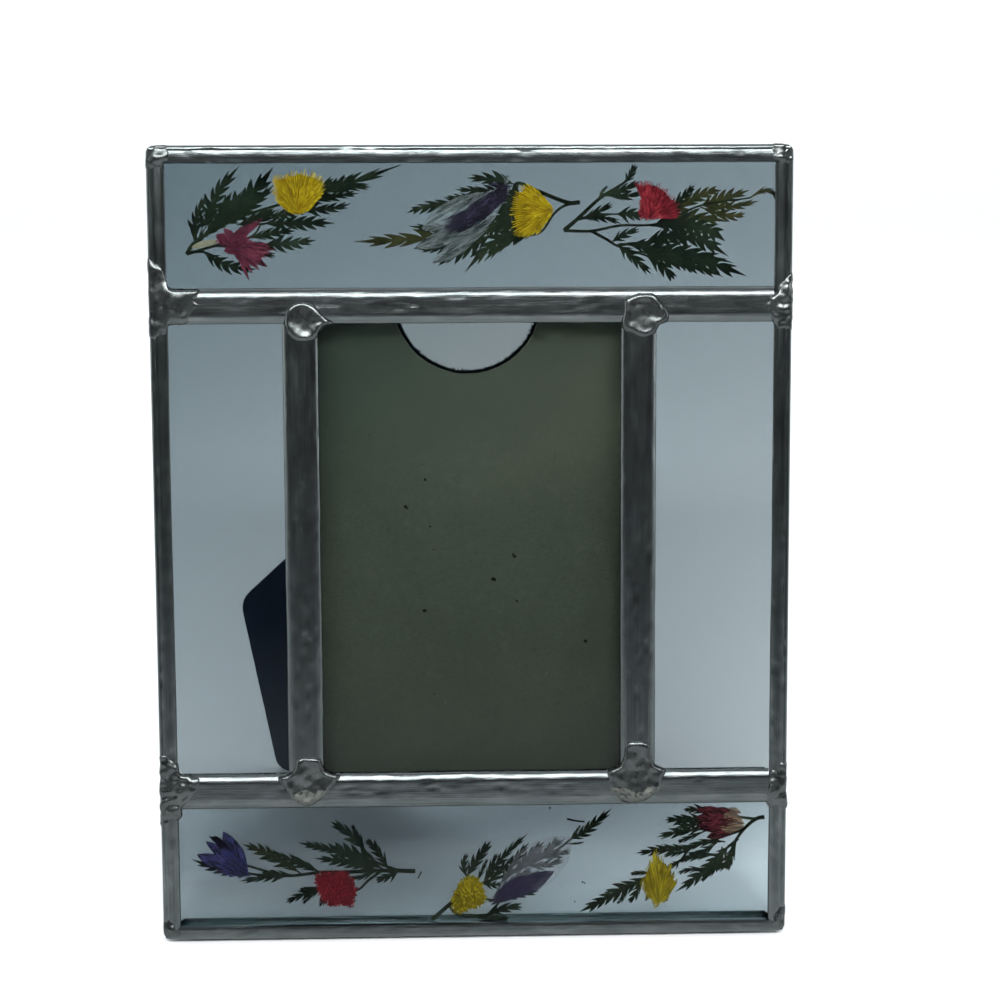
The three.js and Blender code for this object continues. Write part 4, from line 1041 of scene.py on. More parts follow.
# ---- Pressed flowers -------------------------------------------------------------------------
# Fans are outlines of closely packed florets that spread from a focus; with "grain" they lie in
# all directions. Petals are base, tip, half width, tint at base and tip, layer and material.
# Strokes are the tufts' base, tip, spread at both, count, half width, lowest and highest tint.
FANS = {
    "flower_yellow_top_left": {
        "outline": [
            (-36, 143.7), (-34.2, 143.9), (-33.1, 144.3), (-31.2, 144.6), (-29.4, 144.2), (-28.2, 143.7),
            (-27.5, 142.6), (-27.3, 141.3), (-27.9, 140), (-28.8, 139.1), (-29.7, 138), (-31.1, 137.1),
            (-32.4, 136.9), (-33.8, 137.5), (-34.9, 138.4), (-35.8, 139.4), (-36.4, 140.8), (-36.3, 142.3),
        ],
        "focus": (-32, 137.6), "florets": 760, "material": "petal_yellow",
    },
    "flower_yellow_top": {
        "outline": [
            (9.7, 141.9), (10.6, 142.1), (12.1, 141.3), (13.2, 140.3), (14.3, 139), (15.3, 137.8), (14.7, 136.4),
            (13.8, 135.2), (12.8, 133.8), (11.7, 133.2), (9.7, 132.9), (8.4, 133.5), (8, 135), (7.8, 136.8),
            (8, 138.3), (8.3, 139.8), (8.9, 141),
        ],
        "focus": (15, 137.6), "florets": 700, "material": "petal_yellow",
    },
    "flower_red_top_right": {
        "outline": [
            (30.6, 142.2), (31.6, 142.3), (32.7, 142.6), (34.1, 142.3), (35.7, 141.5), (36.8, 140.4), (37.9, 139.2),
            (38.6, 137.8), (38.5, 136.5), (37.4, 136), (35.7, 136), (34.4, 135.9), (33, 135.6), (31.6, 135.9),
            (31.1, 137.1), (31.3, 138.4), (31.5, 139.8), (31.1, 141),
        ],
        "focus": (33.2, 136.1), "florets": 520, "material": "petal_red",
    },
    "flower_red_bottom_left": {
        "outline": [
            (-30.3, 11.7), (-28.8, 12.1), (-26.8, 12.2), (-24.6, 12.3), (-23.8, 11.3), (-23.1, 10), (-22.6, 8.5),
            (-22.8, 6.7), (-23.4, 5.4), (-24.6, 5), (-26.2, 5.3), (-27.6, 5.1), (-28.6, 5.8), (-29.6, 6.8),
            (-30.3, 8), (-30.7, 9.4), (-30.8, 10.7),
        ],
        "focus": (-26.7, 8.7), "florets": 620, "material": "petal_red", "grain": True,
    },
    "flower_yellow_bottom": {
        "outline": [
            (-0.8, 11), (0.1, 10.8), (1, 9.7), (1.4, 8.6), (1.9, 7.4), (2.2, 6.1), (1.1, 4.8), (-0.4, 4.3),
            (-1.9, 3.8), (-3.1, 3.3), (-4.3, 3.8), (-4.8, 5.4), (-4.5, 6.9), (-3.8, 8.7), (-2.6, 10.2),
            (-1.7, 10.7),
        ],
        "focus": (-1.6, 6.9), "florets": 620, "material": "petal_yellow_deep", "grain": True,
    },
    "flower_yellow_bottom_right": {
        "outline": [
            (34.8, 15), (35.6, 13.9), (36.9, 12.9), (37.8, 11.8), (38.2, 10.5), (38.8, 9.2), (38.3, 8), (37.4, 6.6),
            (37.1, 5.5), (35.9, 5), (34.8, 4.1), (34, 5.2), (32.8, 6.7), (32, 8.8), (32.6, 10.6), (33.5, 12.4),
            (34.2, 13.8),
        ],
        "focus": (35.4, 5.4), "florets": 560, "material": "petal_yellow_deep",
    },
}

PETALS = {
    "flower_crimson_top_left": {
        "materials": ["petal_crimson"],
        "petals": [
            ((-42, 131.4), (-47.3, 133.2), 0.95, 0.4, 0.62, 5, 0),
            ((-42, 130.8), (-46.8, 132), 0.9, 0.3, 0.55, 6, 0),
            ((-42.4, 130.2), (-45.8, 130.4), 0.7, 0.25, 0.5, 5, 0),
            ((-42.8, 131.6), (-45.8, 134.4), 0.7, 0.35, 0.6, 4, 0),
            ((-44.6, 131.8), (-38.5, 136.3), 0.6, 0.3, 0.75, 3, 0),
            ((-45, 132.4), (-40.6, 135.2), 0.6, 0.25, 0.5, 4, 0), ((-44, 132), (-40.9, 134), 0.55, 0.3, 0.6, 2, 0),
            ((-44.4, 131.6), (-41, 132.6), 0.7, 0.2, 0.35, 3, 0),
            ((-43.8, 131.2), (-36.2, 130.6), 0.62, 0.15, 0.03, 4, 0),
            ((-43.6, 131.4), (-37.6, 131.5), 0.5, 0.2, 0.06, 5, 0),
            ((-43, 130.8), (-37.2, 129.8), 0.55, 0.1, 0.0, 3, 0),
            ((-44.2, 131), (-37.7, 127.3), 0.62, 0.2, 0.12, 2, 0),
            ((-43.8, 130.8), (-38.6, 128.4), 0.6, 0.12, 0.04, 3, 0),
            ((-44.4, 130.6), (-41.4, 127.4), 0.6, 0.1, 0.05, 4, 0),
            ((-43.6, 130.6), (-41.2, 124.8), 0.34, 0.03, 0.0, 1, 0),
            ((-42.6, 129.6), (-39.2, 126.7), 0.3, 0.02, 0.0, 0, 0),
            ((-43.2, 130), (-40.5, 126.2), 0.34, 0.04, 0.0, 2, 0),
            ((-44.6, 132.6), (-42, 134), 0.3, 0.8, 0.95, 1, 0),
            ((-45.4, 131.6), (-43.4, 133), 0.3, 0.75, 0.9, 1, 0),
            ((-42.8, 131.2), (-40.6, 132.2), 0.3, 0.4, 0.7, 1, 0),
            ((-44, 130.4), (-42.6, 128.4), 0.28, 0.5, 0.3, 0, 0),
        ],
        "strokes": [
            ((-44.2, 131.6), (-39.6, 128.8), 1.5, 1.7, 80, 0.2, 0.0, 0.3),
            ((-44.4, 131.5), (-46.4, 132.4), 1.2, 1.0, 50, 0.2, 0.05, 0.5),
            ((-43.8, 132.4), (-39.4, 135.4), 0.7, 0.5, 16, 0.16, 0.2, 0.8),
        ],
    },
    "flower_purple_top": {
        "materials": ["petal_purple", "petal_veil"],
        "petals": [
            ((7.2, 142.2), (-0.8, 135), 1.5, 0.0, 0.15, 3, 0), ((7.1, 142), (0.8, 137.6), 1.2, 0.1, 0.3, 2, 0),
            ((6.6, 141), (-1.6, 136), 0.8, 0.05, 0.3, 4, 0), ((7.6, 141.9), (3, 142.4), 0.45, 0.05, 0.1, 5, 0),
            ((7.8, 142.4), (-3.6, 133.2), 2.9, 0, 0, 6, 1), ((6.4, 141.2), (-9.2, 134.2), 2.7, 0, 0, 7, 1),
            ((4.2, 135.4), (-10.6, 130.7), 1.5, 0, 0, 8, 1), ((3.6, 134.6), (-7.4, 127.8), 1.3, 0, 0, 7, 1),
            ((6.2, 142.2), (6.9, 144), 0.5, 0, 0, 5, 1),
        ],
        "strokes": [
            ((6.0, 140.8), (0.6, 136.8), 1.5, 2.0, 150, 0.17, 0.0, 0.3),
            ((2.4, 137.8), (-3.6, 134.8), 1.6, 1.9, 60, 0.16, 0.2, 1.0),
        ],
    },
    "flower_violet_bottom_left": {
        "materials": ["petal_violet", "petal_sepal"],
        "petals": [
            ((-43.4, 12), (-48.1, 20.3), 1.35, 1.0, 0.1, 4, 0),
            ((-43.6, 12.2), (-51.4, 18.4), 1.15, 0.9, 0.15, 5, 0),
            ((-43.2, 11.8), (-53.2, 15.8), 1.4, 0.9, 0.3, 6, 0), ((-42.9, 11.4), (-50, 13.9), 1.3, 0.8, 0.35, 7, 0),
            ((-43.4, 12.4), (-46, 18.6), 0.8, 0.9, 0.5, 3, 0), ((-43.6, 12.6), (-49.2, 16.4), 0.8, 0.7, 0.05, 2, 0),
            ((-46.4, 16.2), (-50.8, 19.5), 0.42, 0, 0, 1, 1), ((-46.2, 16), (-49.6, 19.5), 0.36, 0, 0, 0, 1),
            ((-45.8, 16), (-49.4, 17.6), 0.4, 0, 0, 2, 1),
        ],
        "strokes": [
            ((-45.0, 12.8), (-48.2, 16.0), 1.2, 2.0, 100, 0.17, 0.0, 0.5),
        ],
    },
    "flower_purple_bottom": {
        "materials": ["petal_dusk", "petal_film"],
        "petals": [
            ((2.8, 5), (15.2, 11.6), 1.7, 0.3, 0.9, 4, 0), ((3, 5.6), (9.6, 10.8), 1.1, 0.1, 0.5, 3, 0),
            ((2.6, 5), (18.7, 18.2), 4.3, 0, 0, 6, 1), ((3.4, 5.4), (15.4, 17.2), 2.4, 0, 0, 7, 1),
        ],
    },
    "flower_maroon_bottom_right": {
        "materials": ["petal_maroon", "petal_buff"],
        "petals": [
            ((51.4, 21.4), (42.6, 23.6), 1.15, 0.6, 0.0, 4, 0), ((51.4, 21), (42.6, 22), 1.2, 0.65, 0.0, 5, 0),
            ((51.4, 20.4), (42.9, 20), 1.25, 0.6, 0.05, 6, 0), ((51.2, 19.8), (44.6, 17.8), 0.95, 0.7, 0.1, 7, 0),
            ((51, 21.6), (46.6, 23.7), 0.8, 0.5, 0.05, 3, 0), ((51.2, 20.6), (45.6, 21.4), 0.7, 0.8, 0.3, 2, 0),
            ((52, 20.4), (47.8, 22.4), 1.3, 0.2, 0.6, 1, 1), ((52.1, 20), (47.2, 19.8), 1.2, 0.4, 0.8, 1, 1),
            ((51.4, 22.6), (48.8, 23.5), 0.6, 0.3, 0.6, 2, 1),
        ],
        "strokes": [
            ((49.6, 20.8), (44.6, 21), 1.3, 2.1, 80, 0.15, 0.0, 1.0),
        ],
    },
}


def petal(builder, base, tip, half, tints, depth, slot, chance, steps=14):
    """A rounded blade, widest towards its tip, with a slightly uneven edge."""
    a, b = Vector(base), Vector(tip)
    along = (b - a).normalized()
    across = Vector((-along.y, along.x))
    length = (b - a).length
    seed = chance.uniform(0, 90)

    def side(sign):
        out = []
        for i in range(steps):
            t = (i + 0.3) / steps
            bulge = math.sin(math.pi * t ** 1.35) ** 0.8
            uneven = 1 + 0.16 * wander(t * 9, sign * 4, 0, seed)
            place = a + along * (t * length) + across * (sign * half * bulge * uneven)
            shade = tints[0] + (tints[1] - tints[0]) * t
            out.append((tuple(place), (t * length, sign * half * bulge), shade))
        return out

    loop = side(-1) + [(tuple(b), (length, 0), tints[1])] + side(1)[::-1]
    edge, places, shades = (list(column) for column in zip(*loop))
    builder.plate(edge, depth, depth + 0.03, slot, shades, places)


def tuft(builder, base, tip, base_spread, tip_spread, count, half, low, high, chance):
    """A mass of narrow blades, for petals crumpled together in the press."""
    def near(point, spread):
        turn, reach = chance.uniform(0, 2 * math.pi), spread * math.sqrt(chance.random())
        return point[0] + reach * math.cos(turn), point[1] + reach * math.sin(turn)

    for _ in range(count):
        tint = chance.uniform(low, high)
        depth = PETAL_LAYER[0] + 0.14 * chance.random()
        petal(builder, near(base, base_spread), near(tip, tip_spread),
              half * chance.uniform(0.6, 1.3), (tint, tint), depth, 0, chance, steps=5)


def fan(builder, outline, focus, florets, chance, grain=False):
    """Closely packed florets over a backing that closes the gaps between them."""
    closed = outline + outline[:3]
    edge = [tuple(p) for p, _ in smooth_line(closed, 4)][4:4 + 4 * len(outline)]
    edge = counterclockwise(edge)
    middle = Vector((sum(p[0] for p in outline), sum(p[1] for p in outline))) / len(outline)
    pulled = [tuple(middle + (Vector(p) - middle) * chance.uniform(0.84, 0.95)) for p in edge]
    builder.plate(pulled, PETAL_LAYER[1] - 0.02, PETAL_LAYER[1] + 0.05, 0, 0.0)
    focus = Vector(focus)
    for i in range(florets):
        depth = PETAL_LAYER[0] + 0.24 * chance.random()
        target = Vector(edge[chance.randrange(len(edge))])
        if grain:
            reach = math.sqrt(chance.random())
            here = middle + (target - middle) * reach * 0.98
            turn = chance.uniform(0, 2 * math.pi)
            size = chance.uniform(0.25, 0.5)
            there = here + Vector((math.cos(turn), math.sin(turn))) * size
            half = chance.uniform(0.1, 0.2)
        else:
            # The outer florets end in the ragged edge, the inner ones fill the face.
            outer = i % 3 == 0
            end = chance.uniform(0.93, 1.1) if outer else chance.uniform(0.3, 1.0)
            start = end - chance.uniform(0.14, 0.3)
            here, there = (focus + (target - focus) * k for k in (start, end))
            half = chance.uniform(0.06, 0.13)
        length = (there - here).length
        along = (there - here).normalized()
        across = Vector((-along.y, along.x)) * half
        tone = chance.uniform(0.05, 1.0) ** (1.9 if grain else 1.3)
        waist = here + along * length * 0.6
        loop = [(here - across * 0.5, 0, -1), (waist - across, 0.6, -1),
                (there - across * 0.55, 0.97, -1), (there + along * 0.05, 1, 0),
                (there + across * 0.55, 0.97, 1), (waist + across, 0.6, 1),
                (here + across * 0.5, 0, 1)]
        shades = [tone * (0.55 + 0.45 * t) for _, t, _ in loop]
        places = [(t * length + i, half * k) for _, t, k in loop]
        builder.plate([tuple(p) for p, _, _ in loop], depth, depth + 0.035, 0, shades, places)


def add_flowers():
    for seed, (name, bloom) in enumerate(FANS.items()):
        chance = random.Random(300 + seed)
        builder = Builder()
        fan(builder, bloom["outline"], bloom["focus"], bloom["florets"], chance,
            bloom.get("grain", False))
        piece = builder.make(name + "_head", [MATERIALS[bloom["material"]]])
        slot = "petal_yellow" if "yellow" in name else "petal_red"
        place_piece(piece, slot, name)
    for seed, (name, bloom) in enumerate(PETALS.items()):
        chance = random.Random(400 + seed)
        builder = Builder()
        for base, tip, half, low, high, layer, slot in bloom["petals"]:
            depth = PETAL_LAYER[0] + 0.034 * layer
            petal(builder, base, tip, half, (low, high), depth, slot, chance)
        for stroke in bloom.get("strokes", []):
            tuft(builder, *stroke, chance)
        # A bloom passes its first material's name as the slot; the dusk one passes the purple one's.
        piece = builder.make(name + "_head", [MATERIALS[m] for m in bloom["materials"]])
        place_piece(piece, bloom["materials"][0].replace("dusk", "purple"), name)


# ---- Solder ----------------------------------------------------------------------------------
# Outlines on the front face: SOLDER_WRAPS run round the frame's edge, SOLDER_JOINTS lie inside.
SOLDER_WRAP = 0.15         # how far it stands off the sides and top of the frame
SOLDER_FLOOR = 0.12        # the lowest it reaches, above the bottom edge
SOLDER_LIMITS = (60.3, HEIGHT + 0.75)     # half the width and the height it stays within
MELT_SIZE = 0.2            # voxels of the skin that joins the blocks
SOLDER_WRAPS = {
    "corner_top_left": [
        (-59.5, 147.4), (-58.9, 148.9), (-57.5, 149.4), (-55.3, 149.3), (-54.5, 147.6), (-54.7, 146.4),
        (-56.1, 146.1), (-56.4, 144.7), (-57.7, 144.5), (-59.5, 145.0),
    ],
    "corner_top_right": [
        (54.4, 147.5), (55.1, 149.2), (56.8, 149.5), (58.8, 149.2), (59.5, 147.5), (59.5, 145.6), (58.1, 144.7),
        (57.0, 145.0), (56.7, 146.1), (55.7, 146.5), (54.6, 146.7),
    ],
    "corner_bottom_left": [
        (-59.5, 4.2), (-58.2, 4.8), (-57.0, 4.0), (-56.6, 2.2), (-55.4, 1.6), (-55.4, 0.1), (-57.3, 0.0),
        (-58.6, 0.0), (-59.5, 0.5),
    ],
    "corner_bottom_right": [
        (59.5, 5.4), (59.5, 0.4), (58.4, 0.1), (56.1, 0.1), (55.5, 1.3), (56.7, 2.1), (56.9, 3.9), (58.0, 5.4),
    ],
    "tee_upper_left": [
        (-59.6, 128.2), (-58.8, 129.0), (-57.5, 128.6), (-56.5, 126.4), (-56.0, 123.9), (-54.4, 123.4),
        (-51.5, 123.4), (-49.9, 122.9), (-50.5, 121.3), (-49.5, 119.9), (-51.2, 118.1), (-53.1, 116.8),
        (-56.0, 116.5), (-56.5, 114.7), (-58.0, 114.1), (-59.6, 114.8),
    ],
    "tee_upper_right": [
        (59.6, 125.6), (58.4, 125.5), (57.0, 124.3), (56.5, 122.6), (55.2, 122.3), (54.1, 120.6), (54.3, 118.8),
        (55.6, 117.2), (56.3, 116.1), (57.2, 114.8), (59.0, 114.8), (59.6, 116.1),
    ],
    "tee_lower_left": [
        (-59.6, 35.6), (-57.8, 35.7), (-56.3, 34.3), (-55.7, 32.3), (-53.8, 32.0), (-51.9, 31.2), (-52.1, 29.1),
        (-53.8, 27.1), (-55.2, 25.6), (-55.7, 23.8), (-57.4, 22.2), (-59.6, 22.6),
    ],
    "tee_lower_right": [
        (59.6, 33.0), (57.4, 32.8), (56.4, 31.7), (55.8, 30.2), (56.0, 27.9), (55.3, 26.3), (56.0, 24.5),
        (57.6, 23.8), (59.6, 24.4),
    ],
}
SOLDER_JOINTS = {
    "upper_left": [
        (-34.9, 117.9), (-34.5, 119.6), (-33.1, 120.9), (-31.2, 121.3), (-29.2, 120.6), (-27.7, 119.1),
        (-26.1, 117.6), (-25.6, 116.9), (-27.1, 116.4), (-28.1, 115.4), (-29.0, 113.9), (-30.9, 113.3),
        (-32.8, 113.6), (-34.2, 115.0), (-34.8, 116.4),
    ],
    "upper_right": [
        (28.0, 121.0), (29.5, 122.0), (32.0, 122.5), (34.0, 122.2), (35.5, 120.4), (36.7, 118.5), (36.3, 117.0),
        (34.7, 116.2), (34.0, 114.6), (32.0, 113.8), (29.9, 114.4), (27.9, 115.6), (27.7, 117.6), (28.0, 119.2),
    ],
    "lower_left": [
        (-33.6, 35.2), (-31.5, 35.6), (-29.3, 35.2), (-28.5, 33.1), (-27.2, 32.1), (-25.4, 31.5), (-25.9, 30.3),
        (-27.2, 28.7), (-28.9, 27.0), (-30.9, 25.8), (-32.7, 25.7), (-34.9, 27.2), (-36.3, 29.1), (-37.4, 31.2),
        (-35.8, 31.8), (-34.4, 32.9),
    ],
    "lower_right": [
        (28.6, 37.6), (30.8, 38.0), (33.1, 37.5), (33.6, 34.9), (34.4, 33.0), (36.2, 31.9), (36.0, 30.0),
        (35.6, 28.0), (33.4, 26.3), (31.0, 25.5), (27.8, 25.7), (25.6, 27.5), (25.1, 30.1), (25.3, 31.8),
        (27.3, 32.8), (28.3, 34.8),
    ],
}
REAR_SHARE = 0.66          # how far the solder spreads on the back, against the front
TABLE_GAP = 0.00002        # metres between the lowest solder and the table
PLAIN_WRINKLE = 0.07
WRINKLED = {"tee_lower_left": 0.26, "tee_upper_right": 0.2, "tee_lower_right": 0.22,
            "corner_top_right": 0.2, "corner_top_left": 0.16}
# The lumps' profiles: distance in from the outline, depth from the face.
PLAIN_EDGE = ((0.1, 1.05), (0.0, 0.6), (0.2, 0.22), (0.8, -0.06), (1.6, -0.22))
RAISED_RIM = ((0.1, 1.05), (0.0, 0.6), (0.15, 0.2), (0.5, -0.16), (0.95, -0.36), (1.7, -0.24))


def closed_curve(points):
    """A smooth closed line through the points."""
    steps = 8
    line = smooth_line([points[-1]] + points + points[:2], steps)
    return [p for p, _ in line][steps:steps * (len(points) + 1)]


def clamp_wrap(p):
    """Keeps a point of an outline close to the frame's edge."""
    half = WIDTH / 2 + SOLDER_WRAP
    return Vector((max(-half, min(half, p.x)), max(SOLDER_FLOOR, min(HEIGHT + SOLDER_WRAP, p.y))))


def pillow(builder, edge, back, layers, top):
    """A low dome over an outline, on the front face or, mirrored, on the back one."""
    middle = sum(edge, Vector((0, 0))) / len(edge)
    radius = sum((p - middle).length for p in edge) / len(edge)
    rings = []
    for amount, depth in (*layers, (radius * 0.75, top)):
        scale = 1 - amount / radius
        y = THICKNESS - depth if back else depth
        ring = [middle + (p - middle) * scale for p in edge]
        rings.append([(x, y, z) for x, z in ring])
    builder.rings(rings)


def side_cap(builder, x, low, high, along_x=False):
    """A rounded bar that carries the solder round the edge of the frame, front to back."""
    rings = []
    count, around = 14, 20
    for i in range(count + 1):
        s = 2 * i / count - 1
        fade = max(0.05, (1 - abs(s) ** 5)) ** 0.5
        ring = []
        for k in range(around):
            a = 2 * math.pi * k / around
            cx, cy = math.cos(a), math.sin(a)
            off = 0.46 * fade * math.copysign(abs(cx) ** 0.6, cx)
            depth = MID_DEPTH + (MID_DEPTH + 0.12 * fade) * math.copysign(abs(cy) ** 0.4, cy)
            at = (low + high) / 2 + s * (high - low) / 2
            ring.append((at, depth, x + off) if along_x else (x + off, depth, at))
        rings.append(ring)
    builder.rings(rings)


def relax(work, factor):
    bmesh.ops.smooth_vert(work, verts=work.verts, factor=factor, use_axis_x=True, use_axis_y=True,
                          use_axis_z=True)


def solder_lump(name, node, fill, seed, wrinkle, dust_below=None):
    """Joins the rough blocks that fill() adds into one skin, then melts and dents it."""
    builder = Builder()
    fill(builder)
    rough = builder.make(name, [], matrix=Matrix.Identity(4))
    remesh = rough.modifiers.new("melt", "REMESH")
    remesh.mode = "VOXEL"
    remesh.voxel_size = MELT_SIZE
    bpy.context.view_layer.update()
    melted = rough.evaluated_get(bpy.context.evaluated_depsgraph_get())
    work = bmesh.new()
    work.from_mesh(melted.to_mesh())
    melted.to_mesh_clear()
    for _ in range(4):
        relax(work, 0.5)
    work.normal_update()
    moves = []
    for v in work.verts:
        x, y, z = v.co
        lumps = wander(x * 0.3, y * 0.3, z * 0.3, seed) * 0.2
        drips = wander(x * 0.75, y * 0.75, z * 0.75, seed + 3) * wrinkle
        moves.append(v.normal * (lumps + drips))
    side, top = SOLDER_LIMITS
    for v, move in zip(work.verts, moves):
        x, y, z = v.co + move
        v.co = round_corner((max(-side, min(side, x)), y, max(SOLDER_FLOOR, min(top, z))), 2.0)
    relax(work, 0.35)
    dusty = [0.0] * len(work.verts)
    if dust_below is not None:
        dusty = [max(0.0, min(0.7, 0.27 + (dust_below - v.co.z) / 1.6
                              + wander(v.co.x * 0.5, 0, v.co.z * 0.5, seed)))
                 for v in work.verts]
    bmesh.ops.transform(work, matrix=PANEL, verts=work.verts)
    for v in work.verts:
        v.co.z = max(v.co.z, TABLE_GAP)
    mesh = bpy.data.meshes.new(name)
    work.to_mesh(mesh)
    work.free()
    bpy.data.objects.remove(rough)
    for face in mesh.polygons:
        face.use_smooth = True
    tint = mesh.attributes.new("tint", "FLOAT", "POINT")
    for i, value in enumerate(dusty):
        tint.data[i].value = value
    mesh.materials.append(MATERIALS["solder"])
    piece = bpy.data.objects.new(name, mesh)
    bpy.context.scene.collection.objects.link(piece)
    place_piece(piece, "solder", node)


def add_solder():
    for seed, (name, points) in enumerate(SOLDER_WRAPS.items(), 40):
        curve = closed_curve([Vector(p) for p in points])
        edge = [clamp_wrap(p) for p in curve]
        level = BAR_HEIGHT["upper" if "upper" in name else "lower"]
        if "corner" in name:
            level = HEIGHT if "top" in name else 0
        anchor = Vector((math.copysign(WIDTH / 2, points[0][0]), level))
        rear = [clamp_wrap(anchor + (p - anchor) * REAR_SHARE) for p in curve]
        low = min(p.y for p in edge if abs(p.x) > WIDTH / 2) + 0.2
        high = max(p.y for p in edge if abs(p.x) > WIDTH / 2) - 0.2
        side = math.copysign(WIDTH / 2 - 0.3, edge[0].x)

        def fill(builder):
            pillow(builder, edge, False, PLAIN_EDGE, -0.34)
            pillow(builder, rear, True, PLAIN_EDGE, -0.3)
            side_cap(builder, side, low, high)
            if "corner_top" in name:
                ends = sorted(p.x for p in edge if p.y > HEIGHT - 0.2)
                side_cap(builder, HEIGHT - 0.3, ends[0] + 0.2, ends[-1] - 0.2, along_x=True)

        solder_lump(f"lump_{name}", f"solder_{name}", fill, seed,
                    WRINKLED.get(name, PLAIN_WRINKLE))
    for seed, (name, points) in enumerate(SOLDER_JOINTS.items(), 60):
        edge = closed_curve([Vector(p) for p in points])
        level, beside = name.split("_")
        dusty = BAR_HEIGHT["lower"] + 0.5 if level == "lower" else None
        anchor = Vector((UPRIGHT_PLACE[beside], BAR_HEIGHT[level]))
        rear = [anchor + (p - anchor) * REAR_SHARE for p in edge]
        for face, shape, lift in (("front", edge, 0), ("back", rear, 9)):
            def fill(builder):
                pillow(builder, shape, face == "back", RAISED_RIM, -0.12)

            solder_lump(f"lump_{name}_{face}", f"solder_joint_{name}_{face}", fill,
                        seed + lift, 0.09, dusty if face == "front" else None)


# ---- Easel leg -------------------------------------------------------------------------------
LEG_WIDTH = 51
LEG_OFFSET = -7.5
LEG_THICKNESS = 2
TAB_LENGTH = 13
HINGE = Vector((6.2, 12.1, 65.7))
HINGE_GAP = 0.4
GROUND = -1.5788           # height of the table below the panel's origin
CORNER = 4
# Plates are drawn in X and Z with their depth along Y; the leg has its depth along Z.
PLATE_TO_LEG = Matrix(((1, 0, 0, 0), (0, 0, 1, 0), (0, 1, 0, 0), (0, 0, 0, 1)))


def fold_axes(opening):
    """The leg's axes in the panel's: along the fold, down to the foot, out of its back."""
    d = math.sqrt(0.5)
    flat, out = Vector((-d, 0, -d)), Vector((0, 1, 0))
    down = flat * math.cos(opening) + out * math.sin(opening)
    back = out * math.cos(opening) - flat * math.sin(opening)
    return Vector((d, 0, -d)), down, back


def leg_matrix(opening):
    """From the leg's own axes (along the fold, down to the foot, out of its back) to the frame."""
    turn = Matrix(fold_axes(opening)).transposed().to_4x4()
    return PANEL @ Matrix.Translation(HINGE) @ turn


def rise(v):
    """Height above the panel's origin, straight up from the table."""
    return v.z * math.cos(LEAN) - v.y * math.sin(LEAN)


def foot_reach(across):
    """How far down the leg meets the table, at this place across it."""
    along, down, back = fold_axes(LEG_OPENING)
    fall = rise(HINGE) + across * rise(along) - LEG_THICKNESS * rise(back) - GROUND
    return -fall / rise(down)


def rounded(corners, radii):
    """A closed outline with rounded corners, closely stepped."""
    points = []
    count, turns, step = len(corners), 8, 0.8
    for i in range(count):
        here = Vector(corners[i])
        if not radii[i]:
            points.append(here)
            continue
        before = (Vector(corners[i - 1]) - here).normalized() * radii[i] * 0.8 + here
        after = (Vector(corners[(i + 1) % count]) - here).normalized() * radii[i] * 0.8 + here
        points += [(1 - t) ** 2 * before + 2 * t * (1 - t) * here + t * t * after
                   for t in (k / turns for k in range(turns + 1))]
    fine = []
    for a, b in zip(points, points[1:] + points[:1]):
        parts = max(1, round((b - a).length / step))
        fine += [tuple(a + (b - a) * k / parts) for k in range(parts)]
    return fine


def leg_plate(name, corners, radii, opening, body, node):
    """A velour-covered card in the leg's axes, drawn as a plate and turned into place."""
    edge = counterclockwise(rounded(corners, radii))
    edge = [(x + wander(x, y, 0, 31) * 0.1, y + wander(x, y, 7, 31) * 0.1) for x, y in edge]
    builder = Builder()
    slab(builder, edge, -LEG_THICKNESS, 0, 0.45)
    matrix = leg_matrix(opening) @ PLATE_TO_LEG
    piece = builder.make(name, [MATERIALS["velour"]], matrix=matrix, smooth=60)
    place_piece(piece, "velour", node, body=body)


def add_hinge_strip():
    """The velour runs over the fold from the tab to the leg."""
    tab = leg_matrix(0)
    leg = leg_matrix(LEG_OPENING)
    near, far = LEG_OFFSET - LEG_WIDTH / 2 + 0.7, LEG_OFFSET + LEG_WIDTH / 2 - 0.7
    reach, thick, fold = 4.2, 0.22, 1.2      # half the strip, its lift, half of what bends
    across, steps = 24, 60
    marks = [-reach + 2 * reach * i / across for i in range(across + 1)]
    builder = Builder()
    rings = []
    for k in range(steps + 1):
        x = near + (far - near) * k / steps
        ring = []
        for lift, order in ((thick, marks), (-0.05, marks[::-1])):
            for s in order:
                t = min(1, max(0, (s + fold) / (2 * fold)))
                t = t * t * (3 - 2 * t)      # eased at both ends
                lifted = lift * min(1, (reach - abs(s)) * 2 + 0.25)
                a = tab @ Vector((x, s, lifted))
                b = leg @ Vector((x, s, lifted))
                ring.append(a.lerp(b, t))
        rings.append(ring)
    places = [[(k * 0.8, i * 0.4) for i in range(len(ring))] for k, ring in enumerate(rings)]
    builder.rings(rings, places)
    velour = [MATERIALS["velour"]]
    piece = builder.make("hinge_velour", velour, matrix=Matrix.Identity(4), smooth=60)
    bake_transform(piece)


def add_leg():
    near, far = LEG_OFFSET - LEG_WIDTH / 2, LEG_OFFSET + LEG_WIDTH / 2
    tab = [(near, -HINGE_GAP), (near, -TAB_LENGTH), (far, -TAB_LENGTH), (far, -HINGE_GAP)]
    leg_plate("velour_tab", tab, [0, CORNER, CORNER, 0], 0, "frame", "leg_tab")
    point = foot_reach(0)
    leg = [(near, HINGE_GAP), (near, point + near), (0, point), (far, foot_reach(far)),
           (far, HINGE_GAP)]
    leg_plate("velour_leg", leg, [0, CORNER, CORNER, 1, 0], LEG_OPENING, "leg", "easel_leg")
    add_hinge_strip()


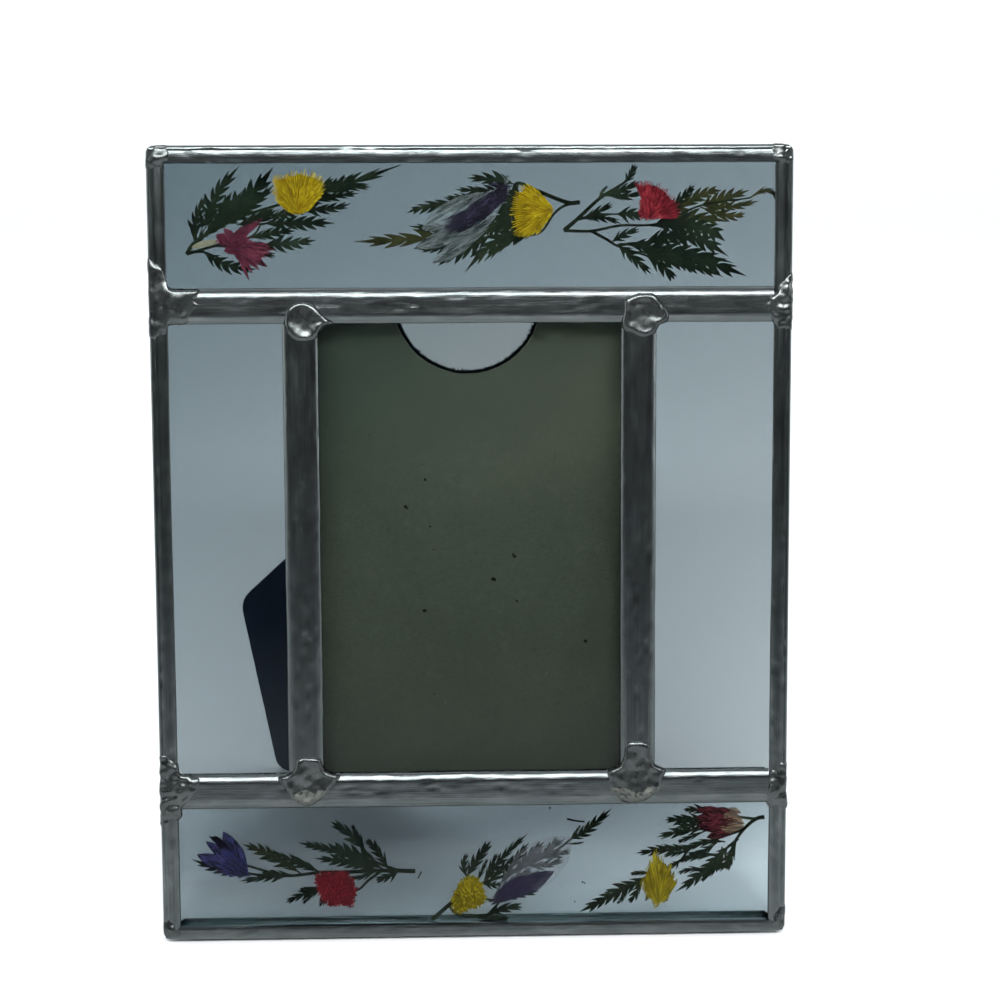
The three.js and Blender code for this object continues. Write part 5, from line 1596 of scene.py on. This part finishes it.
# ---- Fibres, specks and dust -----------------------------------------------------------------
# Specks on the board, dark ones and then pale ones: the places and sizes of the large ones, and
# the count, the spread over x and z and the sizes of the fine ones.
SPECKS = [
    ([(-12.8, 82), (-12.4, 81.6), (-8.1, 78.1), (-9, 87.1), (7.7, 72.6), (8, 72.2), (3.9, 67.9),
      (4.2, 67.7), (8.4, 63.6), (-9.3, 61.9), (21.5, 55.7)], (0.22, 0.38),
     90, (-27, 26), (34, 104), (0.05, 0.12)),
    ([(-28.2, 102.6), (-26, 39.6), (14, 49.5), (-5.5, 44), (24.4, 76), (-17.2, 92.4)], (0.12, 0.2),
     60, (-28, 27), (32, 106), (0.05, 0.09)),
]
FIBRE_COUNT = 900
LEG_DUST_COUNT = 110


def crumb(builder, middle, size, chance, flat=0.5, slot=0):
    """A small lump with an uneven, closed skin."""
    seed = chance.uniform(0, 90)
    rings = []
    rows, around = 4, 7
    stretch = chance.uniform(0.7, 1.6)
    for r in range(1, rows):
        a = math.pi * r / rows
        ring = []
        for k in range(around):
            b = 2 * math.pi * k / around
            grow = size * (1 + 0.5 * wander(math.cos(b) * 2, math.sin(b) * 2, a, seed))
            ring.append((middle[0] + grow * math.sin(a) * math.cos(b) * stretch,
                         middle[1] - grow * math.cos(a) * flat,
                         middle[2] + grow * math.sin(a) * math.sin(b)))
        rings.append(ring)
    builder.rings(rings, slot=slot)


def add_specks():
    chance = random.Random(7)
    builder = Builder()
    front = BOARD_DEPTH[0]
    for slot, (marks, size, count, over_x, over_z, fine) in enumerate(SPECKS):
        for x, z in marks:
            crumb(builder, (x, front, z), chance.uniform(*size), chance, slot=slot)
        for _ in range(count):
            x, z = chance.uniform(*over_x), chance.uniform(*over_z)
            crumb(builder, (x, front, z), chance.uniform(*fine), chance, slot=slot)
    piece = builder.make("board_specks", [MATERIALS["dark_fleck"], MATERIALS["pale_fleck"]])
    place_piece(piece, "chipboard")


def hair(builder, root, tip, half):
    """A fibre with three sides."""
    root, tip = Vector(root), Vector(tip)
    along = (tip - root).normalized()
    a = along.orthogonal().normalized()
    b = along.cross(a)
    rings = []
    bend = root.lerp(tip, 0.6) + a * half
    for place, wide in ((root, half), (bend, half * 0.8), (tip, half * 0.25)):
        rings.append([tuple(place + (a * math.cos(t) + b * math.sin(t)) * wide)
                      for t in (0, 2.094, 4.189)])
    builder.rings(rings)


def add_fuzz():
    """Velour fibres round the thumb notch."""
    chance = random.Random(11)
    builder = Builder()
    top = BOARD_ENDS[1]
    for _ in range(FIBRE_COUNT):
        a = math.radians(chance.uniform(-178, -2))
        r = NOTCH_RADIUS - chance.uniform(-0.1, 0.5)
        depth = chance.uniform(BOARD_DEPTH[1] - 0.9, VELOUR_DEPTH[1])
        root = (NOTCH_MIDDLE + r * math.cos(a), depth, top + r * math.sin(a))
        lean = a + chance.uniform(-0.9, 0.9) * 0.9
        length = chance.uniform(0.25, 0.75)
        tip = (root[0] - length * math.cos(lean), depth + chance.uniform(-0.2, 0.2),
               root[2] - length * math.sin(lean))
        hair(builder, root, tip, chance.uniform(0.035, 0.07))
    piece = builder.make("notch_fibres", [MATERIALS["velour"]])
    place_piece(piece, "velour")


def add_dust():
    """Pale dust that clings to the front of the leg, and crumbs of leaf between the panes."""
    chance = random.Random(13)
    builder = Builder()
    for _ in range(LEG_DUST_COUNT):
        x = LEG_OFFSET - LEG_WIDTH / 2 + 3 + 40 * chance.random()
        y = 12 + 40 * chance.random()
        # Only where it lands on the leg, clear of the slanting edges of its foot.
        if y > foot_reach(x) - 5 or y > foot_reach(0) + x - 4:
            continue
        crumb(builder, (x, -LEG_THICKNESS - 0.02, y), chance.uniform(0.06, 0.14), chance)
    matrix = leg_matrix(LEG_OPENING) @ PLATE_TO_LEG
    piece = builder.make("leg_dust", [MATERIALS["pale_fleck"]], matrix=matrix)
    place_piece(piece, "velour", body="leg")
    bits = Builder()
    depth = LEAF_LAYER[0]
    line = smooth_line([(-10.3, 11.8), (-10.6, 11.2), (-11, 10.4)], 4)
    ribbon(bits, line, lambda t: 0.13, depth, 0.1, 0.2)
    twig = smooth_line([(17.7, 21.8), (19.4, 21.4), (21.1, 21.2)], 5)
    ribbon(bits, twig, lambda t: 0.17, depth - 0.05, 0.12, 0.1)
    for x, z, size in ((14.4, 24, 0.2), (20.7, 9.3, 0.22), (21.1, 9.1, 0.16), (19.2, 5.4, 0.15)):
        crumb(bits, (x, depth, z), size, chance, flat=0.25)
    place_piece(bits.make("leaf_crumbs", [MATERIALS["leaf"]]), "leaf", "leaf_crumb")


# ---- The materials, and the scene ------------------------------------------------------------
# Glass: the deep and the light end of the painted shade in its tint, the index of refraction,
# the span of that painted shade along its fall, and the fall. Petals: at the base, at the tip,
# in the veins. Thin petals: dark, pale, how much they cover and how close the veins are.
# Flecks: two shades.
GLASSES = {
    # Painted shade: the grey of the deeper tints and their deepening towards the top left, which also darkens the
    # top of the board seen through the print glass; the low glass, darker at its top and middle; and the low front
    # glass, a darker copy of the front glass over the lower band.
    "glass": ((0.115, 0.155, 0.172), (0.40, 0.45, 0.465), 1.32),
    "print_glass": ((0.177, 0.213, 0.222), (0.235, 0.26, 0.257), 1.32, (0.33, 0.47)),
    "front_glass": ((0.88, 0.91, 0.92), (0.89, 0.92, 0.93), 1.09),
    "rear_glass": ((0.135, 0.18, 0.198), (0.43, 0.48, 0.50), 1.32),
    "low_front_glass": ((0.74, 0.775, 0.785), (0.75, 0.785, 0.795), 1.07),
    "low_glass": ((0.285, 0.335, 0.36), (0.74, 0.83, 0.86), 1.32, (0.47, 0.73), LOW_PAINTED_SHADE_FALL),
}
PETAL_COLOURS = {
    "stub": ((0.14, 0.135, 0.09), (0.22, 0.215, 0.155), (0.09, 0.08, 0.05)),
    "petal_yellow": ((0.12, 0.075, 0.002), (0.60, 0.455, 0.014), (0.24, 0.165, 0.004)),
    "petal_yellow_deep": ((0.07, 0.05, 0.002), (0.52, 0.42, 0.018), (0.18, 0.135, 0.006)),
    "petal_red": ((0.035, 0.002, 0.004), (0.30, 0.028, 0.034), (0.10, 0.006, 0.01)),
    "petal_sepal": ((0.004, 0.004, 0.008), (0.01, 0.01, 0.018), (0.003, 0.003, 0.006)),
}
THIN_PETAL_COLOURS = {
    "petal_crimson": ((0.02, 0.0015, 0.006), (0.092, 0.014, 0.027), 0.93, 1.4),
    "petal_purple": ((0.0015, 0.001, 0.005), (0.016, 0.013, 0.03), 0.93, 1.8),
    "petal_veil": ((0.03, 0.043, 0.043), (0.19, 0.225, 0.225), 0.42),
    "petal_violet": ((0.003, 0.003, 0.014), (0.024, 0.025, 0.082), 0.91, 1.5),
    "petal_dusk": ((0.006, 0.004, 0.018), (0.036, 0.029, 0.066), 0.6, 1.5),
    "petal_film": ((0.15, 0.15, 0.175), (0.27, 0.28, 0.30), 0.13),
    "petal_maroon": ((0.007, 0.001, 0.003), (0.058, 0.008, 0.012), 0.94, 1.6),
    "petal_buff": ((0.10, 0.05, 0.033), (0.24, 0.165, 0.10), 0.7),
}
FLECKS = {
    "dark_fleck": ((0.012, 0.016, 0.014), (0.04, 0.045, 0.04)),
    "pale_fleck": ((0.55, 0.56, 0.54), (0.75, 0.76, 0.74)),
}
MATERIALS = {"came": came_material(), "solder": solder_material(), "leaf": leaf_material(),
             "chipboard": chipboard_material(), "velour": velour_material()}
for looks, make_material in ((GLASSES, glass_material), (PETAL_COLOURS, petal_material),
                             (THIN_PETAL_COLOURS, translucent_petal_material),
                             (FLECKS, fleck_material)):
    for name, look in looks.items():
        MATERIALS[name] = make_material(name, *look)

add_camera()
add_world()
add_stage()
add_light("overhead", (0.0, 0.15, 1.1), (0, 0.1, 0.05), (1.3, 0.9), 5)
add_light("key", (0.0, -0.77, 0.71), (0, 0, 0.07), (0.9, 0.14), 16)
add_light("left", (-0.95, -0.3, 0.35), (0, 0, 0.08), (0.35, 0.6), 3)
add_light("right", (0.95, -0.3, 0.35), (0, 0, 0.08), (0.35, 0.6), 3)
add_came()
add_tracks()
add_board()
add_glass()
add_sprays()
add_flowers()
add_solder()
add_leg()
add_specks()
add_fuzz()
add_dust()
